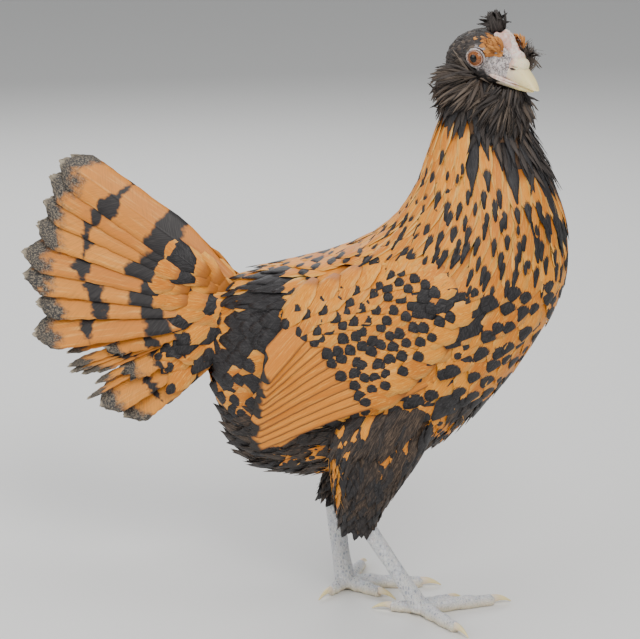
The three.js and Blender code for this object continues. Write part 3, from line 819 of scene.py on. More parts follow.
def flank_out(x, z, sign, lift):
    along = flank_point(x + 2, z, sign, lift) - flank_point(x - 2, z, sign, lift)
    upward = flank_point(x, z + 2, sign, lift) - flank_point(x, z - 2, sign, lift)
    out = unit(np.cross(along, upward))
    return out * np.sign(out[..., 1:2] * sign)


# One long feather as a thin closed sheet of rows along its quill. Its way is given as three functions
# of v: the middle of the vane, the direction across it, and the direction that it faces.
def quill_sheet(way, wide, outline, columns, rows, roll, camber, seed, fray, round_tip=0.0, slant=0.0):
    centre, side, face = way
    draw = np.random.default_rng(seed)
    v = 1 - (1 - np.linspace(0, 1, rows + 1)) ** 1.5
    u = np.linspace(-1, 1, columns + 1)
    ragged = fray * draw.uniform(-1, 1, (rows + 1, columns + 1)) * smooth_step(0.1, 0.5, v)[:, None]
    half = (outline(v) * wide / 2)[:, None] * u[None, :] * (1 + ragged * (np.abs(u) > 0.7))
    c, sd, fc = centre(v)[:, None, :], side(v)[:, None, :], face(v)[:, None, :]
    height = roll * half - camber * wide * u[None, :] ** 2 * outline(v)[:, None]
    top = c + sd * half[..., None] + fc * height[..., None]
    back_sweep = 0.12 * wide * u**2 * v[:, None] + round_tip * wide * u**2 * smooth_step(0.8, 1.0, v)[:, None]
    back_sweep = back_sweep + slant * wide * u * smooth_step(0.7, 1.0, v)[:, None]
    back_sweep = back_sweep - 1.6 * ragged * wide * smooth_step(0.9, 1.0, v)[:, None]
    top = top - unit(np.gradient(centre(v), axis=0))[:, None, :] * back_sweep[..., None]
    thick = 0.5 * (1 - 0.7 * np.abs(u))[None, :] * (1 - 0.6 * v)[:, None] + 0.08
    under = top - fc * thick[..., None]
    points, faces = sheet_faces(top.reshape(-1, 3), under.reshape(-1, 3), columns, rows)
    grid_v, grid_u = np.meshgrid(v, (u + 1) / 2, indexing="ij")
    flat = np.stack([grid_u, grid_v], -1).reshape(-1, 2)
    return points, faces, np.vstack([flat, flat])


# Rounds off the end of a long feather from start on, down to a least width.
def rounded_off(v, start, run, least):
    return np.sqrt(np.clip(1 - ((v - start) / run) ** 2, least, 1) ** (v > start))


def quill_outline(v):
    return (0.35 + 0.65 * smooth_step(0, 0.4, v)) * rounded_off(v, 0.9, 0.104, 0.03)


# Long feathers joined into one piece, each with its own tone and bake spot.
def quills(name, sheets, finish, slot_name, bake_at, *nodes):
    points, faces, flats, tones, marks, patches = [], [], [], [], [], []
    draw = np.random.default_rng(len(sheets))
    start = 0
    for k, (p, f, flat) in enumerate(sheets):
        points.append(p)
        faces += [tuple(i + start for i in face) for face in f]
        start += len(p)
        flats.append(flat)
        tones.append(np.full(len(p), draw.uniform(0, 1)))
        marks.append(np.full(len(p), draw.uniform(0, 1)))
        patches.append(np.array(bake_at) + (0.004 * k, 0) + (flat - 0.5) * BAKE_PATCH)
    piece = mesh_object(name, np.vstack(points), faces, np.vstack(flats))
    for label, values in (("tone", tones), ("mark", marks)):
        made = piece.data.attributes.new(label, "FLOAT", "POINT")
        made.data.foreach_set("value", np.concatenate(values).astype(np.float32))
    patches = np.vstack(patches)[loop_corners(piece.data)]
    layer = piece.data.uv_layers.new(name="OFBake")
    layer.data.foreach_set("uv", patches.astype(np.float32).ravel())
    piece.data.materials.append(finish)
    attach(piece, "root")
    if nodes:
        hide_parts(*nodes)


def flight_outline(v):
    return (0.7 + 0.3 * smooth_step(0, 0.12, v)) * rounded_off(v, 0.96, 0.042, 0.1)


# One flight feather from start to end, both seen from the side. Its tip is cut on a slant and stands off.
TIP_STANDS_OFF, TIP_SLANT = 12, 0.42


def flank_feather(start, end, sign, lifts, wide, roll, sag, seed):
    a, b = np.array(start, float), np.array(end, float)
    sideways = np.array([-(b - a)[1], (b - a)[0]]) / np.linalg.norm(b - a)

    def place(v):
        path = a + (b - a) * v[:, None] + sideways * (sag * np.sin(math.pi * v))[:, None]
        lift = lifts[0] + (lifts[1] - lifts[0]) * smooth_step(0, 0.35, v)
        lift = lift + TIP_STANDS_OFF * smooth_step(0.35, 1.15, v)
        return path[:, 0], path[:, 1], lift

    def spot(v):
        x, z, lift = place(v)
        return flank_point(x, z, sign, lift)

    def face(v):
        x, z, lift = place(v)
        return flank_out(x, z, sign, lift)

    def side(v):
        return unit(np.cross(unit(np.gradient(spot(v), axis=0)), face(v)))

    way, slant = (spot, side, face), -sign * TIP_SLANT
    return quill_sheet(way, wide, flight_outline, 8, 24, roll, 0.03, seed, 0.02, slant=slant)


flight_finish, shader, s = finish_named("gold flight feathers", roughness=0.5, Specular_IOR_Level=0.3)
u, v = own_map(s)
tone, mark = stored_paints(s, "tone", "mark")
across = (u - 0.5).abs()
barbs = noise_at(s, (across * 5.0, (v - across * 0.3) * 110.0, tone * 30.0), 3.0)
streaks = noise_at(s, (u * 22.0, v * 5.0, tone * 30.0), 3.0)
gold = (tone * 0.8 + v * 0.2).between(0.0, 1.0).mix((0.6, 0.185, 0.014), (0.78, 0.27, 0.024))
gold = (streaks.between(0.45, 0.75) * 0.6).mix(gold, (0.88, 0.44, 0.09))
gold = (barbs.between(0.5, 0.75) * 0.4).mix(gold, (0.45, 0.15, 0.02))
gold = across.between(0.42, 0.5).mix(gold, (0.3, 0.11, 0.03))
blot = noise_at(s, (u * 2.0, v * 7.0, tone * 50.0), 2.0)
tip = (v + (blot - 0.5) * 0.14).between(0.95, 0.98) * mark.between(0.3, 0.5)
into(shader, "Base Color", tip.mix(gold, (0.03, 0.025, 0.022)))
raised(s, shader, barbs * 0.5 + across.between(0.05, 0.0), 0.3, 0.0004)

covert_vane = vane_pattern("covert", 4, 6, contour_outline, 0.26, 0.04, 0.05, 5)
LOWER_FLIGHTS, UPPER_FLIGHTS = 4, 11
COVERT_ROWS, COVERT_GAP, COVERT_BOW = 11, 9.6, 7
for sign, side in ((-1, "right"), (1, "left")):
    sheets = []
    for k in range(LOWER_FLIGHTS):
        share = k / (LOWER_FLIGHTS - 1)
        start, end = (32 - 30 * share, 170 - 8 * share), (-72 + 10 * share, 124 + 2 * share)
        sheets.append(flank_feather(start, end, sign, (-2, 1.8 - 0.3 * k), 13, sign * 0.08, -3, 60 + k))
    for k in range(UPPER_FLIGHTS):
        share = k / (UPPER_FLIGHTS - 1)
        start = (40 - 66 * share, 176 + 50 * share)
        end = (WING_POINT[0] + 9 * share**1.5, WING_POINT[1] + 50 * share)
        sheets.append(flank_feather(start, end, sign, (-1, 4.5), 18, sign * 0.08, -3 + 3 * share, 80 + k))
    bake_at = (0.02 + 0.1 * (sign > 0), 0.005)
    quills(f"flight feathers {side}", sheets, flight_finish, "gold_plumage", bake_at, f"wing_flights_{side}")

    spots, runs, lifts, sizes = [], [], [], []
    for row in range(COVERT_ROWS):
        up = row / (COVERT_ROWS - 1)
        start = np.array((24, 166)) * (1 - up) + np.array((70, 222)) * up
        end = np.array((-46, 228)) * (1 - up) + np.array((26, 258)) * up
        number = round(np.linalg.norm(end - start) / COVERT_GAP)
        for k in range(number):
            share = (k + 0.5 * (row % 2)) / (number - 0.5)
            bow = np.array((0.6, 0.8)) * COVERT_BOW * math.sin(math.pi * share)
            run = np.array((-0.93, -0.36)) * (1 - share) + np.array((-0.52, -0.85)) * share
            spots.append(start + (end - start) * share + bow)
            runs.append(run / np.linalg.norm(run))
            lifts.append((1.6 - 4.4 * up, 6.4 - 2.6 * up))
            sizes.append((19 - 2.5 * up, 31 - 6 * up))
    draw = np.random.default_rng(91)
    spots, runs, lifts, sizes = [np.array(item) for item in (spots, runs, lifts, sizes)]
    n = len(spots)
    spots = spots + draw.normal(0, 0.8, (n, 2))
    runs = unit(runs + draw.normal(0, 0.06, (n, 2)))
    long = sizes[:, 1] * draw.uniform(0.92, 1.08, n)
    ends, halfway = spots + runs * long[:, None], spots + runs * long[:, None] / 2
    root = flank_point(spots[:, 0], spots[:, 1], sign, lifts[:, 0])
    tip = flank_point(ends[:, 0], ends[:, 1], sign, lifts[:, 1])
    middle = flank_point(halfway[:, 0], halfway[:, 1], sign, lifts.mean(1) + 0.8)
    aim, out, bow = lie_between(root, tip, middle, flank_out(spots[:, 0], spots[:, 1], sign, lifts[:, 0]))
    patch = darkness(root) * (root[:, 0] > 20)
    bake = (0.55 + root[:, 0] / 1500 + 0.2 * (sign > 0), 0.4 + root[:, 2] / 1500, 0 * root[:, 0])
    roots = {
        "at": root,
        "aim": aim,
        "out": out,
        "size": np.stack([sizes[:, 0], long, arched(bow, long)], -1),
        "tone": draw.uniform(0.1, 1, n),
        "mark": draw.uniform(0.8, 1.2, n) * (1 + patch * 0.4),
        "dark": (draw.uniform(0, 1, n) < patch * 0.8) * 1.0,
        "bake": np.stack(bake, -1),
    }
    coat(f"wing coverts {side}", roots, covert_vane, plumage, "gold_plumage", f"wing_coverts_{side}")

# Loose feathers hang from the flank over the top of the thigh, so that leg and flank run together.
DRAPE_FEATHERS = 60
for sign, side in ((-1, "right"), (1, "left")):
    draw = np.random.default_rng(95)
    path, sizes = THIGHS[side]
    centres, radii = curve_through(path), curve_through(sizes)
    n = DRAPE_FEATHERS
    level = draw.uniform(0, 1, n)
    x = draw.uniform(-13, 34, n)
    z = 135 + 0.3 * x + 14 * level
    run = unit(np.stack([-0.5 + 0 * x, 0 * x, -0.86 + 0 * x], -1) + draw.normal(0, 0.16, (n, 3)) * (1, 0, 1))
    long = draw.uniform(26, 34, n)

    def outer(x, z, lift):
        t = np.clip((142 - z) / 30 * 0.25, 0, 1)
        aside = np.clip((x - centres(t)[:, 0]) / (radii(t)[:, 0] + 3), -0.98, 0.98)
        over_leg = np.abs(centres(t)[:, 1]) + (radii(t)[:, 1] + 2) * np.sqrt(1 - aside**2)
        over_body = np.abs(flank_point(x, z, sign, 2.0)[:, 1])
        over_body = over_leg + (over_body - over_leg) * smooth_step(116, 140, z)
        return np.stack([x, sign * (np.maximum(over_leg, over_body) + lift), z], -1)

    root = outer(x, z, -6.5 + 2.5 * (1 - level))
    middle = outer(x + run[:, 0] * long / 2, z + run[:, 2] * long / 2, 0.4 + level)
    tip = outer(x + run[:, 0] * long, z + run[:, 2] * long, level - 1.0)
    outward = np.repeat([[0.0, sign, 0.0]], n, 0)
    aim, out, bow = lie_between(root, tip, middle, outward)
    roots = {
        "at": root,
        "aim": aim,
        "out": out,
        "size": np.stack([12.5 + 0 * x, long, arched(bow, long)], -1),
        "tone": draw.uniform(0, 1, n),
        "mark": draw.uniform(1.0, 1.5, n),
        "dark": np.where(draw.uniform(0, 1, n) < 0.78 + 0.01 * x, draw.uniform(0.55, 0.9, n), 0.0),
        "bake": np.stack([0.9 + 0 * x, 0.2 + x / 2000 + 0.1 * (sign > 0), 0 * x], -1),
    }
    coat(f"thigh drape {side}", roots, shaggy_vane, plumage, "dark_plumage")

# Tail
# A tent of broad quills held up in two halves: gold, barred with black, with worn dark tips. Shorter
# side coverts follow below, and softer coverts hide the roots.
TAIL_ROOT = np.array((-100, 0, 213))
tail_finish, shader, s = finish_named("barred tail feathers", roughness=0.5, Specular_IOR_Level=0.35)
u, v = own_map(s)
tone, mark = stored_paints(s, "tone", "mark")
across = (u - 0.5).abs()
barbs = noise_at(s, (across * 4.0, (v - across * 0.22) * 190.0, tone * 30.0), 2.0)
cloud = noise_at(s, (u * 2.4, v * 9.0, tone * 60.0), 3.0)
streaks = noise_at(s, (u * 16.0, v * 5.0, tone * 30.0), 3.0)
gold = (tone * 0.6 + v * 0.4).between(0.0, 1.0).mix((0.6, 0.19, 0.02), (0.78, 0.3, 0.04))
gold = (streaks.between(0.5, 0.75) * 0.6).mix(gold, (0.86, 0.46, 0.12))
gold = (barbs.between(0.4, 0.75) * 0.4).mix(gold, (0.34, 0.13, 0.03))
first_bar = ((v - 0.36 - tone * 0.12).abs() + (cloud - 0.5) * 0.12).between(0.075, 0.05)
off_second = (v - 0.66 - mark * 0.1).abs() + (cloud - 0.5) * 0.16 + (u - mark).abs() * 0.05
second_bar = off_second.between(0.06, 0.035)
tip = (v + (cloud - 0.5) * 0.3).between(0.84, 0.92)
fringe = v.between(0.975, 1.0)
pepper = noise_at(s, (u * 30.0, v * 120.0, tone * 60.0), 2.0)
grey = pepper.between(0.42, 0.66).mix((0.028, 0.027, 0.028), (0.22, 0.18, 0.13))
grey = (fringe * 0.7).mix(grey, (0.5, 0.42, 0.3))
black = (barbs.between(0.4, 0.7) * 0.5).mix((0.016, 0.014, 0.015), (0.06, 0.052, 0.05))
painted_vane = first_bar.most(second_bar).mix(gold, black)
into(shader, "Base Color", tip.mix(painted_vane, grey))
raised(s, shader, barbs * 0.5 + across.between(0.04, 0.0), 0.35, 0.0004)

# How far above level each quill points, in degrees, and how long it is, from the ridge of the tent down.
TAIL_FAN = (
    (36, 147),
    (31, 148),
    (26, 145),
    (20, 141),
    (12, 146),
    (7, 142),
    (1, 138),
    (-6, 134),
    (-13, 129),
    (-22, 117),
    (-31, 106),
    (-39, 96),
)
WORN_QUILLS = (8, 9)
# Rise of the quills at the ridge of the tent and at the foot of its sides, in degrees.
RIDGE, FOOT = 38, -6
VANE_TILT = math.radians(22)


def tail_sheet(rise, long, sign, seed, wide, fray=0.03):
    down = min(1.0, max(0.0, (RIDGE - rise) / (RIDGE - FOOT)))
    below = max(0.0, (FOOT - rise) / 9.5)
    lift, spread_out = math.radians(rise), math.radians(3 + 10 * down - below)
    aft, aside = -math.cos(lift) * math.cos(spread_out), sign * math.cos(lift) * math.sin(spread_out)
    lie = np.array([aft, aside, math.sin(lift)])
    face = np.array([0, sign * math.cos(VANE_TILT), math.sin(VANE_TILT)])
    face = unit(face - lie * np.dot(face, lie))
    root = TAIL_ROOT + np.array([0, sign * (6 + 3 * down), 4 - 14 * down - below * 4])
    side = unit(np.cross(lie, face))

    def centre(v):
        return root + lie * (long * v)[:, None] + np.array((0, 0, -1)) * (5 * v**2)[:, None]

    def fixed(direction):
        return lambda v: np.repeat(direction[None], len(v), 0)

    way = (centre, fixed(side), fixed(face))
    return quill_sheet(way, wide, quill_outline, 10, 30, sign * 0.15, 0.05, seed, fray, 0.05)


for sign, side in ((-1, "right"), (1, "left")):
    draw = np.random.default_rng(70 + sign)
    sheets = []
    for k, (rise, long) in enumerate(TAIL_FAN):
        rise, long = rise + draw.uniform(-1.5, 1.5), long * draw.uniform(0.96, 1.02)
        if k not in WORN_QUILLS:
            sheets.append(tail_sheet(rise, long, sign, 100 + k, draw.uniform(25, 29)))
            continue
        sheets.append(tail_sheet(rise, long * 0.72, sign, 100 + k, 24, 0.12))
        for strip in range(5):
            splay = rise + 5 - 3.2 * strip + draw.uniform(-1, 1)
            strip_long = long * draw.uniform(0.82, 1.04)
            sheets.append(tail_sheet(splay, strip_long, sign, 130 + strip, draw.uniform(4, 7), 0.15))
    bake_at = (0.3 + 0.12 * (sign > 0), 0.005)
    quills(f"tail feathers {side}", sheets, tail_finish, "gold_plumage", bake_at, f"tail_{side}")

# Tail coverts are soft feathers in tiers over the roots of the quills.
draw = np.random.default_rng(41)
at_all, aim_list, out_list, size_list = [], [], [], []
for sign in (-1, 1):
    for tier in range(7):
        for k in range(9):
            share = k / 8
            rise = math.radians(36 - 92 * share)
            reach = 8.5 * tier - 14
            lie = np.array([-math.cos(rise), sign * 0.16, math.sin(rise)])
            aside = sign * (10 + 2 * math.sin(math.pi * share))
            root = TAIL_ROOT + np.array([0, aside, -2 - 12 * share]) + lie * reach
            at_all.append(root + draw.normal(0, 1.2, 3))
            aim_list.append(unit(lie + draw.normal(0, 0.08, 3)))
            out_list.append(unit(np.array([0, sign * 0.93, 0.36])))
            size_list.append(np.array((19, 38, 30)) * (1 - 0.03 * tier) * draw.uniform(0.85, 1.15))
n = len(at_all)
roots = {
    "at": np.array(at_all),
    "aim": np.array(aim_list),
    "out": np.array(out_list),
    "size": np.array(size_list),
    "tone": draw.uniform(0, 1, n),
    "mark": draw.uniform(0.8, 1.4, n),
    "dark": (draw.uniform(0, 1, n) < 0.28) * 1.0,
    "bake": np.stack([0.6 + draw.uniform(0, 0.1, n), 0.7 + draw.uniform(0, 0.1, n), np.zeros(n)], -1),
}
coat("tail coverts", roots, breast_vane, plumage, "gold_plumage")

# Head
# Bare pale skin before the eyes, small close feathers over the crown and cheeks, and fine wrinkled
# lids round each eye. The skin is one closed surface turned with the head.
face_rows = ring_rows(SKULL_PATH, sunk(SKULL_SIZE, FACE_DOWN), *HEAD_AXES, 70, 72)
face_rows = np.array([[p + unit(p) * 0.35 * noise.noise(Vector(p) * 0.35) for p in row] for row in face_rows])
face_skin = tube("face skin", in_head(face_rows))
face_finish, shader, s = finish_named("pale face skin", 0.62, Subsurface_Weight=0.08, Subsurface_Scale=0.002)
place = own_place(s)
grain = noise_on(s, place, 1100.0, 3.0)
broad = noise_on(s, place, 260.0, 2.0)


# 1 near a point of the head, fading to 0 between the two distances.
def nearness(start, place, x, y, z, near, far):
    at = np.array(HEAD @ Vector((x, y, z))) * 0.001 + OFFSET
    away_from = start.node("ShaderNodeVectorMath", {0: place, 1: tuple(at)}, out=1, operation="DISTANCE")
    return away_from.between(far * 0.001, near * 0.001)


bare = nearness(s, place, 0.5, -EYE_APART, 0, 6.5, 9.5)
# The skin is bare before the eyes, over the beak and beside the comb.
pale_spots = [(0.5, EYE_APART, 0, 6.5, 9.5), (24, 0, -6, 8, 14)]
for sign in (-1, 1):
    pale_spots += [(14, sign * 9, -5, 6, 10), (17, sign * 7, 4, 5, 8), (12, sign * 7, 10, 4, 6.5)]
for x, y, z, near, far in pale_spots:
    bare = bare.most(nearness(s, place, x, y, z, near, far))
pale = (grain * 0.6 + broad * 0.4).between(0.4, 0.58).mix((0.16, 0.14, 0.14), (0.62, 0.55, 0.53))
into(shader, "Base Color", bare.mix((0.03, 0.026, 0.026), pale))
raised(s, shader, grain, 0.5, 0.0004)
face_skin.data.materials.append(face_finish)
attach(face_skin, "root")
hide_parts("head")

# Each eye is a glossy ball with an orange brown iris and black pupil, in a fixed ring of lids.
lid_finish, shader, s = finish_named("pink white lids", 0.5, Subsurface_Weight=0.1, Subsurface_Scale=0.001)
place = own_place(s)
grain = noise_on(s, place, 1400.0, 3.0)
into(shader, "Base Color", grain.between(0.35, 0.65).mix((0.24, 0.12, 0.085), (0.5, 0.31, 0.23)))
raised(s, shader, grain, 0.6, 0.0003)
LOOK_AHEAD = math.radians(14)
LID_STEPS, LID_SIDES = 48, 10
for sign, side in ((-1, "right"), (1, "left")):
    look = np.array([math.sin(LOOK_AHEAD), sign * math.cos(LOOK_AHEAD), 0.02])
    centre = np.array([0.5, sign * EYE_APART, 0])
    upright = np.array([0, 0, 1.0])
    ahead = unit(np.cross(look, upright)) * sign
    turn = full_turn(40)[:, None]
    shell = []
    for a in np.linspace(0, math.pi, 28)[1:-1]:
        circle = math.cos(a) * look[None] + math.sin(a) * (np.cos(turn) * ahead + np.sin(turn) * upright)
        shell.append(centre + EYE_RADIUS * circle)
    ball = tube(f"eye {side}", in_head(shell))
    wet = {"Specular_IOR_Level": 0.3, "Coat_Weight": 0.1, "Coat_Roughness": 0.02}
    eye_finish, shader, s = finish_named(f"eye {side}", 0.06, **wet)
    u, v = own_map(s)
    ray = noise_at(s, (u * 60.0, v * 4.0), 2.0)
    iris = ray.between(0.35, 0.65).mix((0.14, 0.045, 0.015), (0.33, 0.12, 0.04))
    iris = v.between(0.255, 0.285).mix(iris, (0.05, 0.03, 0.025))
    into(shader, "Base Color", v.between(0.112, 0.098).mix(iris, (0.004, 0.004, 0.004)))
    ball.data.materials.append(eye_finish)
    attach(ball, "root")
    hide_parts(f"eye_{side}")
    folds = (("lid", 4.9, 4.6, 3.95, 0.45, lid_finish), ("lid fold", 5.9, 5.6, 2.95, 0.6, face_finish))
    for name, wide, high, out_by, thick, finish in folds:
        rings = []
        for k in range(LID_STEPS):
            a = 2 * math.pi * k / LID_STEPS
            pinch = 1 + 0.12 * math.cos(a) ** 2
            radial = math.cos(a) * wide * pinch * ahead + math.sin(a) * high * upright
            wave = 1 + 0.12 * math.sin(a * 17 + sign)
            middle = centre + look * out_by + radial
            sideways = unit(radial)
            for b in full_turn(LID_SIDES):
                rings.append(middle + thick * wave * (math.cos(b) * sideways + math.sin(b) * look))
        faces = []
        for r in range(LID_STEPS):
            here, after = r * LID_SIDES, (r + 1) % LID_STEPS * LID_SIDES
            for k in range(LID_SIDES):
                n = (k + 1) % LID_SIDES
                faces.append((here + k, here + n, after + n, after + k))
        lid = mesh_object(f"{name} {side}", in_head(rings), faces)
        face_out(lid)
        lid.data.materials.append(finish)
        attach(lid, "root")

# Beak
# Pale horn, the upper half hooked a little over the lower, with a fine dark mouth line between them.
# Two thin fleshy lips on each side run back along that line to its corner under the eye.
MOUTH_AT, MOUTH_HEIGHT, MOUTH_SLOPE = 20, -11.2, math.radians(6)


# One half of the beak, cut off along the mouth line: keep is 1 for the upper half and -1 for the lower.
def beak_half(name, start, end, wide, high, base, tip, hook, keep):
    rows = 36
    t = np.linspace(0, 1, rows)
    turn = full_turn(32)
    reach = np.sqrt(np.clip(1.02 - t**1.8, 0.003, 1))
    out = []
    for k in range(rows):
        x = start + (end - start) * t[k]
        z = base + (tip - base) * t[k] ** 1.5 - hook * max(0, t[k] - 0.75) ** 2 * 16
        y = wide * reach[k] * bent(np.cos(turn), 0.9)
        up = high * reach[k] * (1 - 0.25 * t[k]) * bent(np.sin(turn), 0.9)
        mouth = MOUTH_HEIGHT - (x - MOUTH_AT) * math.tan(MOUTH_SLOPE)
        line = z + up
        line = np.maximum(line, mouth + 0.2) if keep > 0 else np.minimum(line, mouth - 0.2)
        out.append(np.stack([x + 0 * y, y, line], -1))
    return tube(name, in_head(out))


horn, shader, s = finish_named("pale horn", roughness=0.38, Subsurface_Weight=0.06, Subsurface_Scale=0.002)
place = own_place(s)
along = own_map(s)[1]
streak = noise_on(s, place, 420.0, 3.0)
tint = (along + (streak - 0.5) * 0.25).between(0.1, 0.7).mix((0.8, 0.66, 0.52), (0.86, 0.72, 0.36))
into(shader, "Base Color", (streak.between(0.55, 0.8) * 0.35).mix(tint, (0.45, 0.36, 0.24)))
raised(s, shader, streak, 0.25, 0.0003)
upper = beak_half("upper beak", 16, 43, 7.2, 8.6, -4.6, -14, 1.0, 1)
lower = beak_half("lower beak", 9, 38.5, 6.4, 4.6, -11.8, -14.8, 0.0, -1)
for piece, node in ((upper, "beak_upper"), (lower, "beak_lower")):
    piece.data.materials.append(horn)
    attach(piece, "root")
    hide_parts(node)

lip_finish, shader, s = finish_named("pink white gape", 0.45, Subsurface_Weight=0.1, Subsurface_Scale=0.001)
grain = noise_on(s, own_place(s), 500.0, 3.0)
into(shader, "Base Color", grain.between(0.4, 0.65).mix((0.82, 0.68, 0.6), (0.66, 0.42, 0.36)))
for sign, side in ((-1, "right"), (1, "left")):
    for name, rise in (("upper lip", 0.75), ("lower lip", -0.75)):
        path = [(7.5, 9.6, -9.4), (13, 9.2, -9.9 + rise * 0.6)]
        path += [(22, 7.4, -11.2 + rise), (31, 5.2, -12.3 + rise)]
        path = [(x, sign * y, z) for x, y, z in path]
        thick = [(0.5, 0.5), (1.25, 0.9), (1.05, 0.75), (0.25, 0.2)]
        lip = tube(f"{name} {side}", in_head(ring_rows(path, thick, *HEAD_AXES, 26, 12)))
        lip.data.materials.append(lip_finish)
        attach(lip, "root")

# Comb and cere
# Low, pale and pebbled skin that runs from the swollen nostrils up the brow, one soft closed piece of
# small globes grown together. A nostril is pressed into each side of it, over the beak, and the near-black
# slit set in it is painted shade for the opening.
draw = np.random.default_rng(17)
pebbles = [((24.5, 3.2, -1.0), 4.4), ((24.5, -3.2, -1.0), 4.4), ((27, 0, -0.5), 4.6), ((23, 0, 3.5), 4.6)]
for k in range(120):
    share = draw.uniform(0, 1)
    x, z = 22 - 14 * share, 3.5 + 14.0 * share
    across = draw.uniform(-1, 1) * (2.6 + 3.2 * share)
    pebbles.append(((x + draw.uniform(-1, 1), across, z - 0.05 * across**2), draw.uniform(1.1, 2.5)))
globes = []
for (x, y, z), r in pebbles:
    globe = []
    for a in np.linspace(0, math.pi, 10)[1:-1]:
        pole, girth = x + r * math.cos(a), r * math.sin(a)
        globe.append([(pole, y + girth * math.cos(b), z + girth * math.sin(b)) for b in full_turn(14)])
    globes.append(tube("pebble", in_head(globe)))
comb = grown_together(globes, 0.00045, 1)
comb.name = "comb_and_cere"
HEAD_IN_FRAME = Matrix.Translation(Vector(OFFSET)) @ Matrix.Scale(0.001, 4) @ HEAD
to_head = HEAD_IN_FRAME.inverted()
# Each side is pressed in where its nostril opens.
for vertex in comb.data.vertices:
    p = to_head @ vertex.co
    for sign in (-1, 1):
        d = Vector(((p.x - 26.2) / 2.6, (p.y - sign * 6.4) / 3.0, (p.z + 1.4) / 1.1)).length
        if d < 1:
            p.y -= sign * 1.8 * (1 - d * d)
            vertex.co = HEAD_IN_FRAME @ p
glow = {"Subsurface_Weight": 0.15, "Subsurface_Scale": 0.002}
comb_finish, shader, s = finish_named("pale pebbled skin", 0.5, **glow)
place = own_place(s)
grain = noise_on(s, place, 700.0, 4.0)
broad = noise_on(s, place, 190.0, 2.0)
tint = broad.between(0.4, 0.6).mix((0.8, 0.7, 0.63), (0.68, 0.42, 0.35))
tint = nearness(s, place, 27, 0, -2, 5, 9).mix(tint, (0.88, 0.78, 0.52))
into(shader, "Base Color", (grain.between(0.5, 0.75) * 0.5).mix(tint, (0.55, 0.36, 0.3)))
raised(s, shader, grain, 0.8, 0.0007)
# Painted shade: the nostril slit is coloured near black to stand for the shade inside the opening.
nostril_painted_shade, shader, s = finish_named("dark nostril", roughness=0.7)
shader.inputs["Base Color"].default_value = (0.035, 0.018, 0.014, 1)
for sign, side in ((-1, "right"), (1, "left")):
    slit = []
    for t in np.linspace(0.06, 0.94, 12):
        x, size = 23.2 + 4.6 * t, math.sin(math.pi * t)
        y = sign * (7.3 - 0.14 * (x - 24.5) ** 2)
        wide, high = 0.45 * size, 0.7 * size
        slit.append([(x, y + wide * math.cos(b), -2.4 + high * math.sin(b)) for b in full_turn(16)])
    nostril = tube(f"nostril {side}", in_head(slit))
    nostril.data.materials.append(nostril_painted_shade)
    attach(nostril, "root")
comb.data.materials.clear()
comb.data.materials.append(comb_finish)
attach(comb, "root")
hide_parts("comb")

# Head feathers
# Small close feathers over crown and cheeks, black on the sides and rusty beside the comb. Then the
# long soft locks of chin, beard, muffs, brows and far cheek, the black bib below them, and the little
# upright tuft behind the comb.
downy, shader, s = finish_named("soft head feathers", roughness=0.7, Specular_IOR_Level=0.25)
u, v = own_map(s)
tone, dark = stored_paints(s, "tone", "dark")
lines = noise_at(s, (u * 9.0, v * 2.0, tone * 40.0), 2.0)
black = tone.mix((0.016, 0.014, 0.014), (0.06, 0.05, 0.045))
black = (lines.between(0.45, 0.7) * 0.5).mix(black, (0.12, 0.1, 0.09))
brown = tone.mix((0.065, 0.05, 0.042), (0.16, 0.125, 0.098))
rusty = tone.mix((0.36, 0.13, 0.03), (0.62, 0.27, 0.07))
fur = dark.between(0.0, 0.5).mix(rusty, brown)
into(shader, "Base Color", dark.between(0.5, 1.0).mix(fur, black))
raised(s, shader, lines, 0.4, 0.0003)

small_vane = vane_pattern("head feather", 2, 4, contour_outline, 0.25, 0.08, 0.1, 8, thick=0.02)
lock_vane = vane_pattern("muff lock", 2, 6, hackle_outline, 0.1, 0.1, 0.1, 9, thick=0.02)
wisp = tuft_pattern("wisp", 8, 0.3, 0.4, 10, wide=0.03)

skull_at, skull_size = curve_through(SKULL_PATH), curve_through(SKULL_SIZE)
draw = np.random.default_rng(51)
t = draw.uniform(0.0, 0.9, 14000)
turn = draw.uniform(0, 2 * math.pi, 14000)


def skull_point(t, turn):
    r = skull_size(t) - 1.0
    return skull_at(t) + np.stack([0 * t, r[:, 0] * np.cos(turn), r[:, 1] * np.sin(turn)], -1)


# No feathers grow on the ring round the eye, before it, on the comb or under the beak.
here = skull_point(t, turn)
eye_gap = np.hypot(here[:, 0] - 1, here[:, 2] / 1.05)
lore = (here[:, 0] > 6) & (here[:, 2] > -10) & (here[:, 2] < 3)
on_comb = (here[:, 0] > 4) & (here[:, 2] > 3) & (np.abs(here[:, 1]) < 6)
low = here[:, 2] < -13
ok = np.flatnonzero((eye_gap > 6.6) & ~lore & ~on_comb & ~low)
ok = ok[spread(here[ok], 1.55 + 0 * ok, 9)]
t, turn, here = t[ok], turn[ok], here[ok]
back_lie = unit(skull_point(t - 0.02, turn) - here)
side_lie = skull_point(t, turn + 0.05) - here
out = unit(np.cross(back_lie, side_lie))
out *= np.sign(np.sum(out * (here - skull_at(t)), -1, keepdims=True))
lie = unit(back_lie + np.array((0, 0, -0.25)) + draw.normal(0, 0.12, here.shape))
turn_head = np.array(HEAD.to_3x3()).T
n = len(here)
either = np.abs(here * (0, 1, 0)) + here * (1, 0, 1)
rust = 1.6 * blob(either, (13, 8, 7), (7, 5, 6)) + 1.4 * blob(either, (8, 8, 12), (6, 4, 5))
roots = {
    "at": in_head(here),
    "aim": lie @ turn_head,
    "out": out @ turn_head,
    "size": np.repeat([[2.5, 5.6, 5.6]], n, 0) * draw.uniform(0.8, 1.25, (n, 1)),
    "tone": draw.uniform(0, 1, n),
    "mark": np.ones(n),
}
is_rusty = draw.uniform(0, 1, n) < rust * 1.4
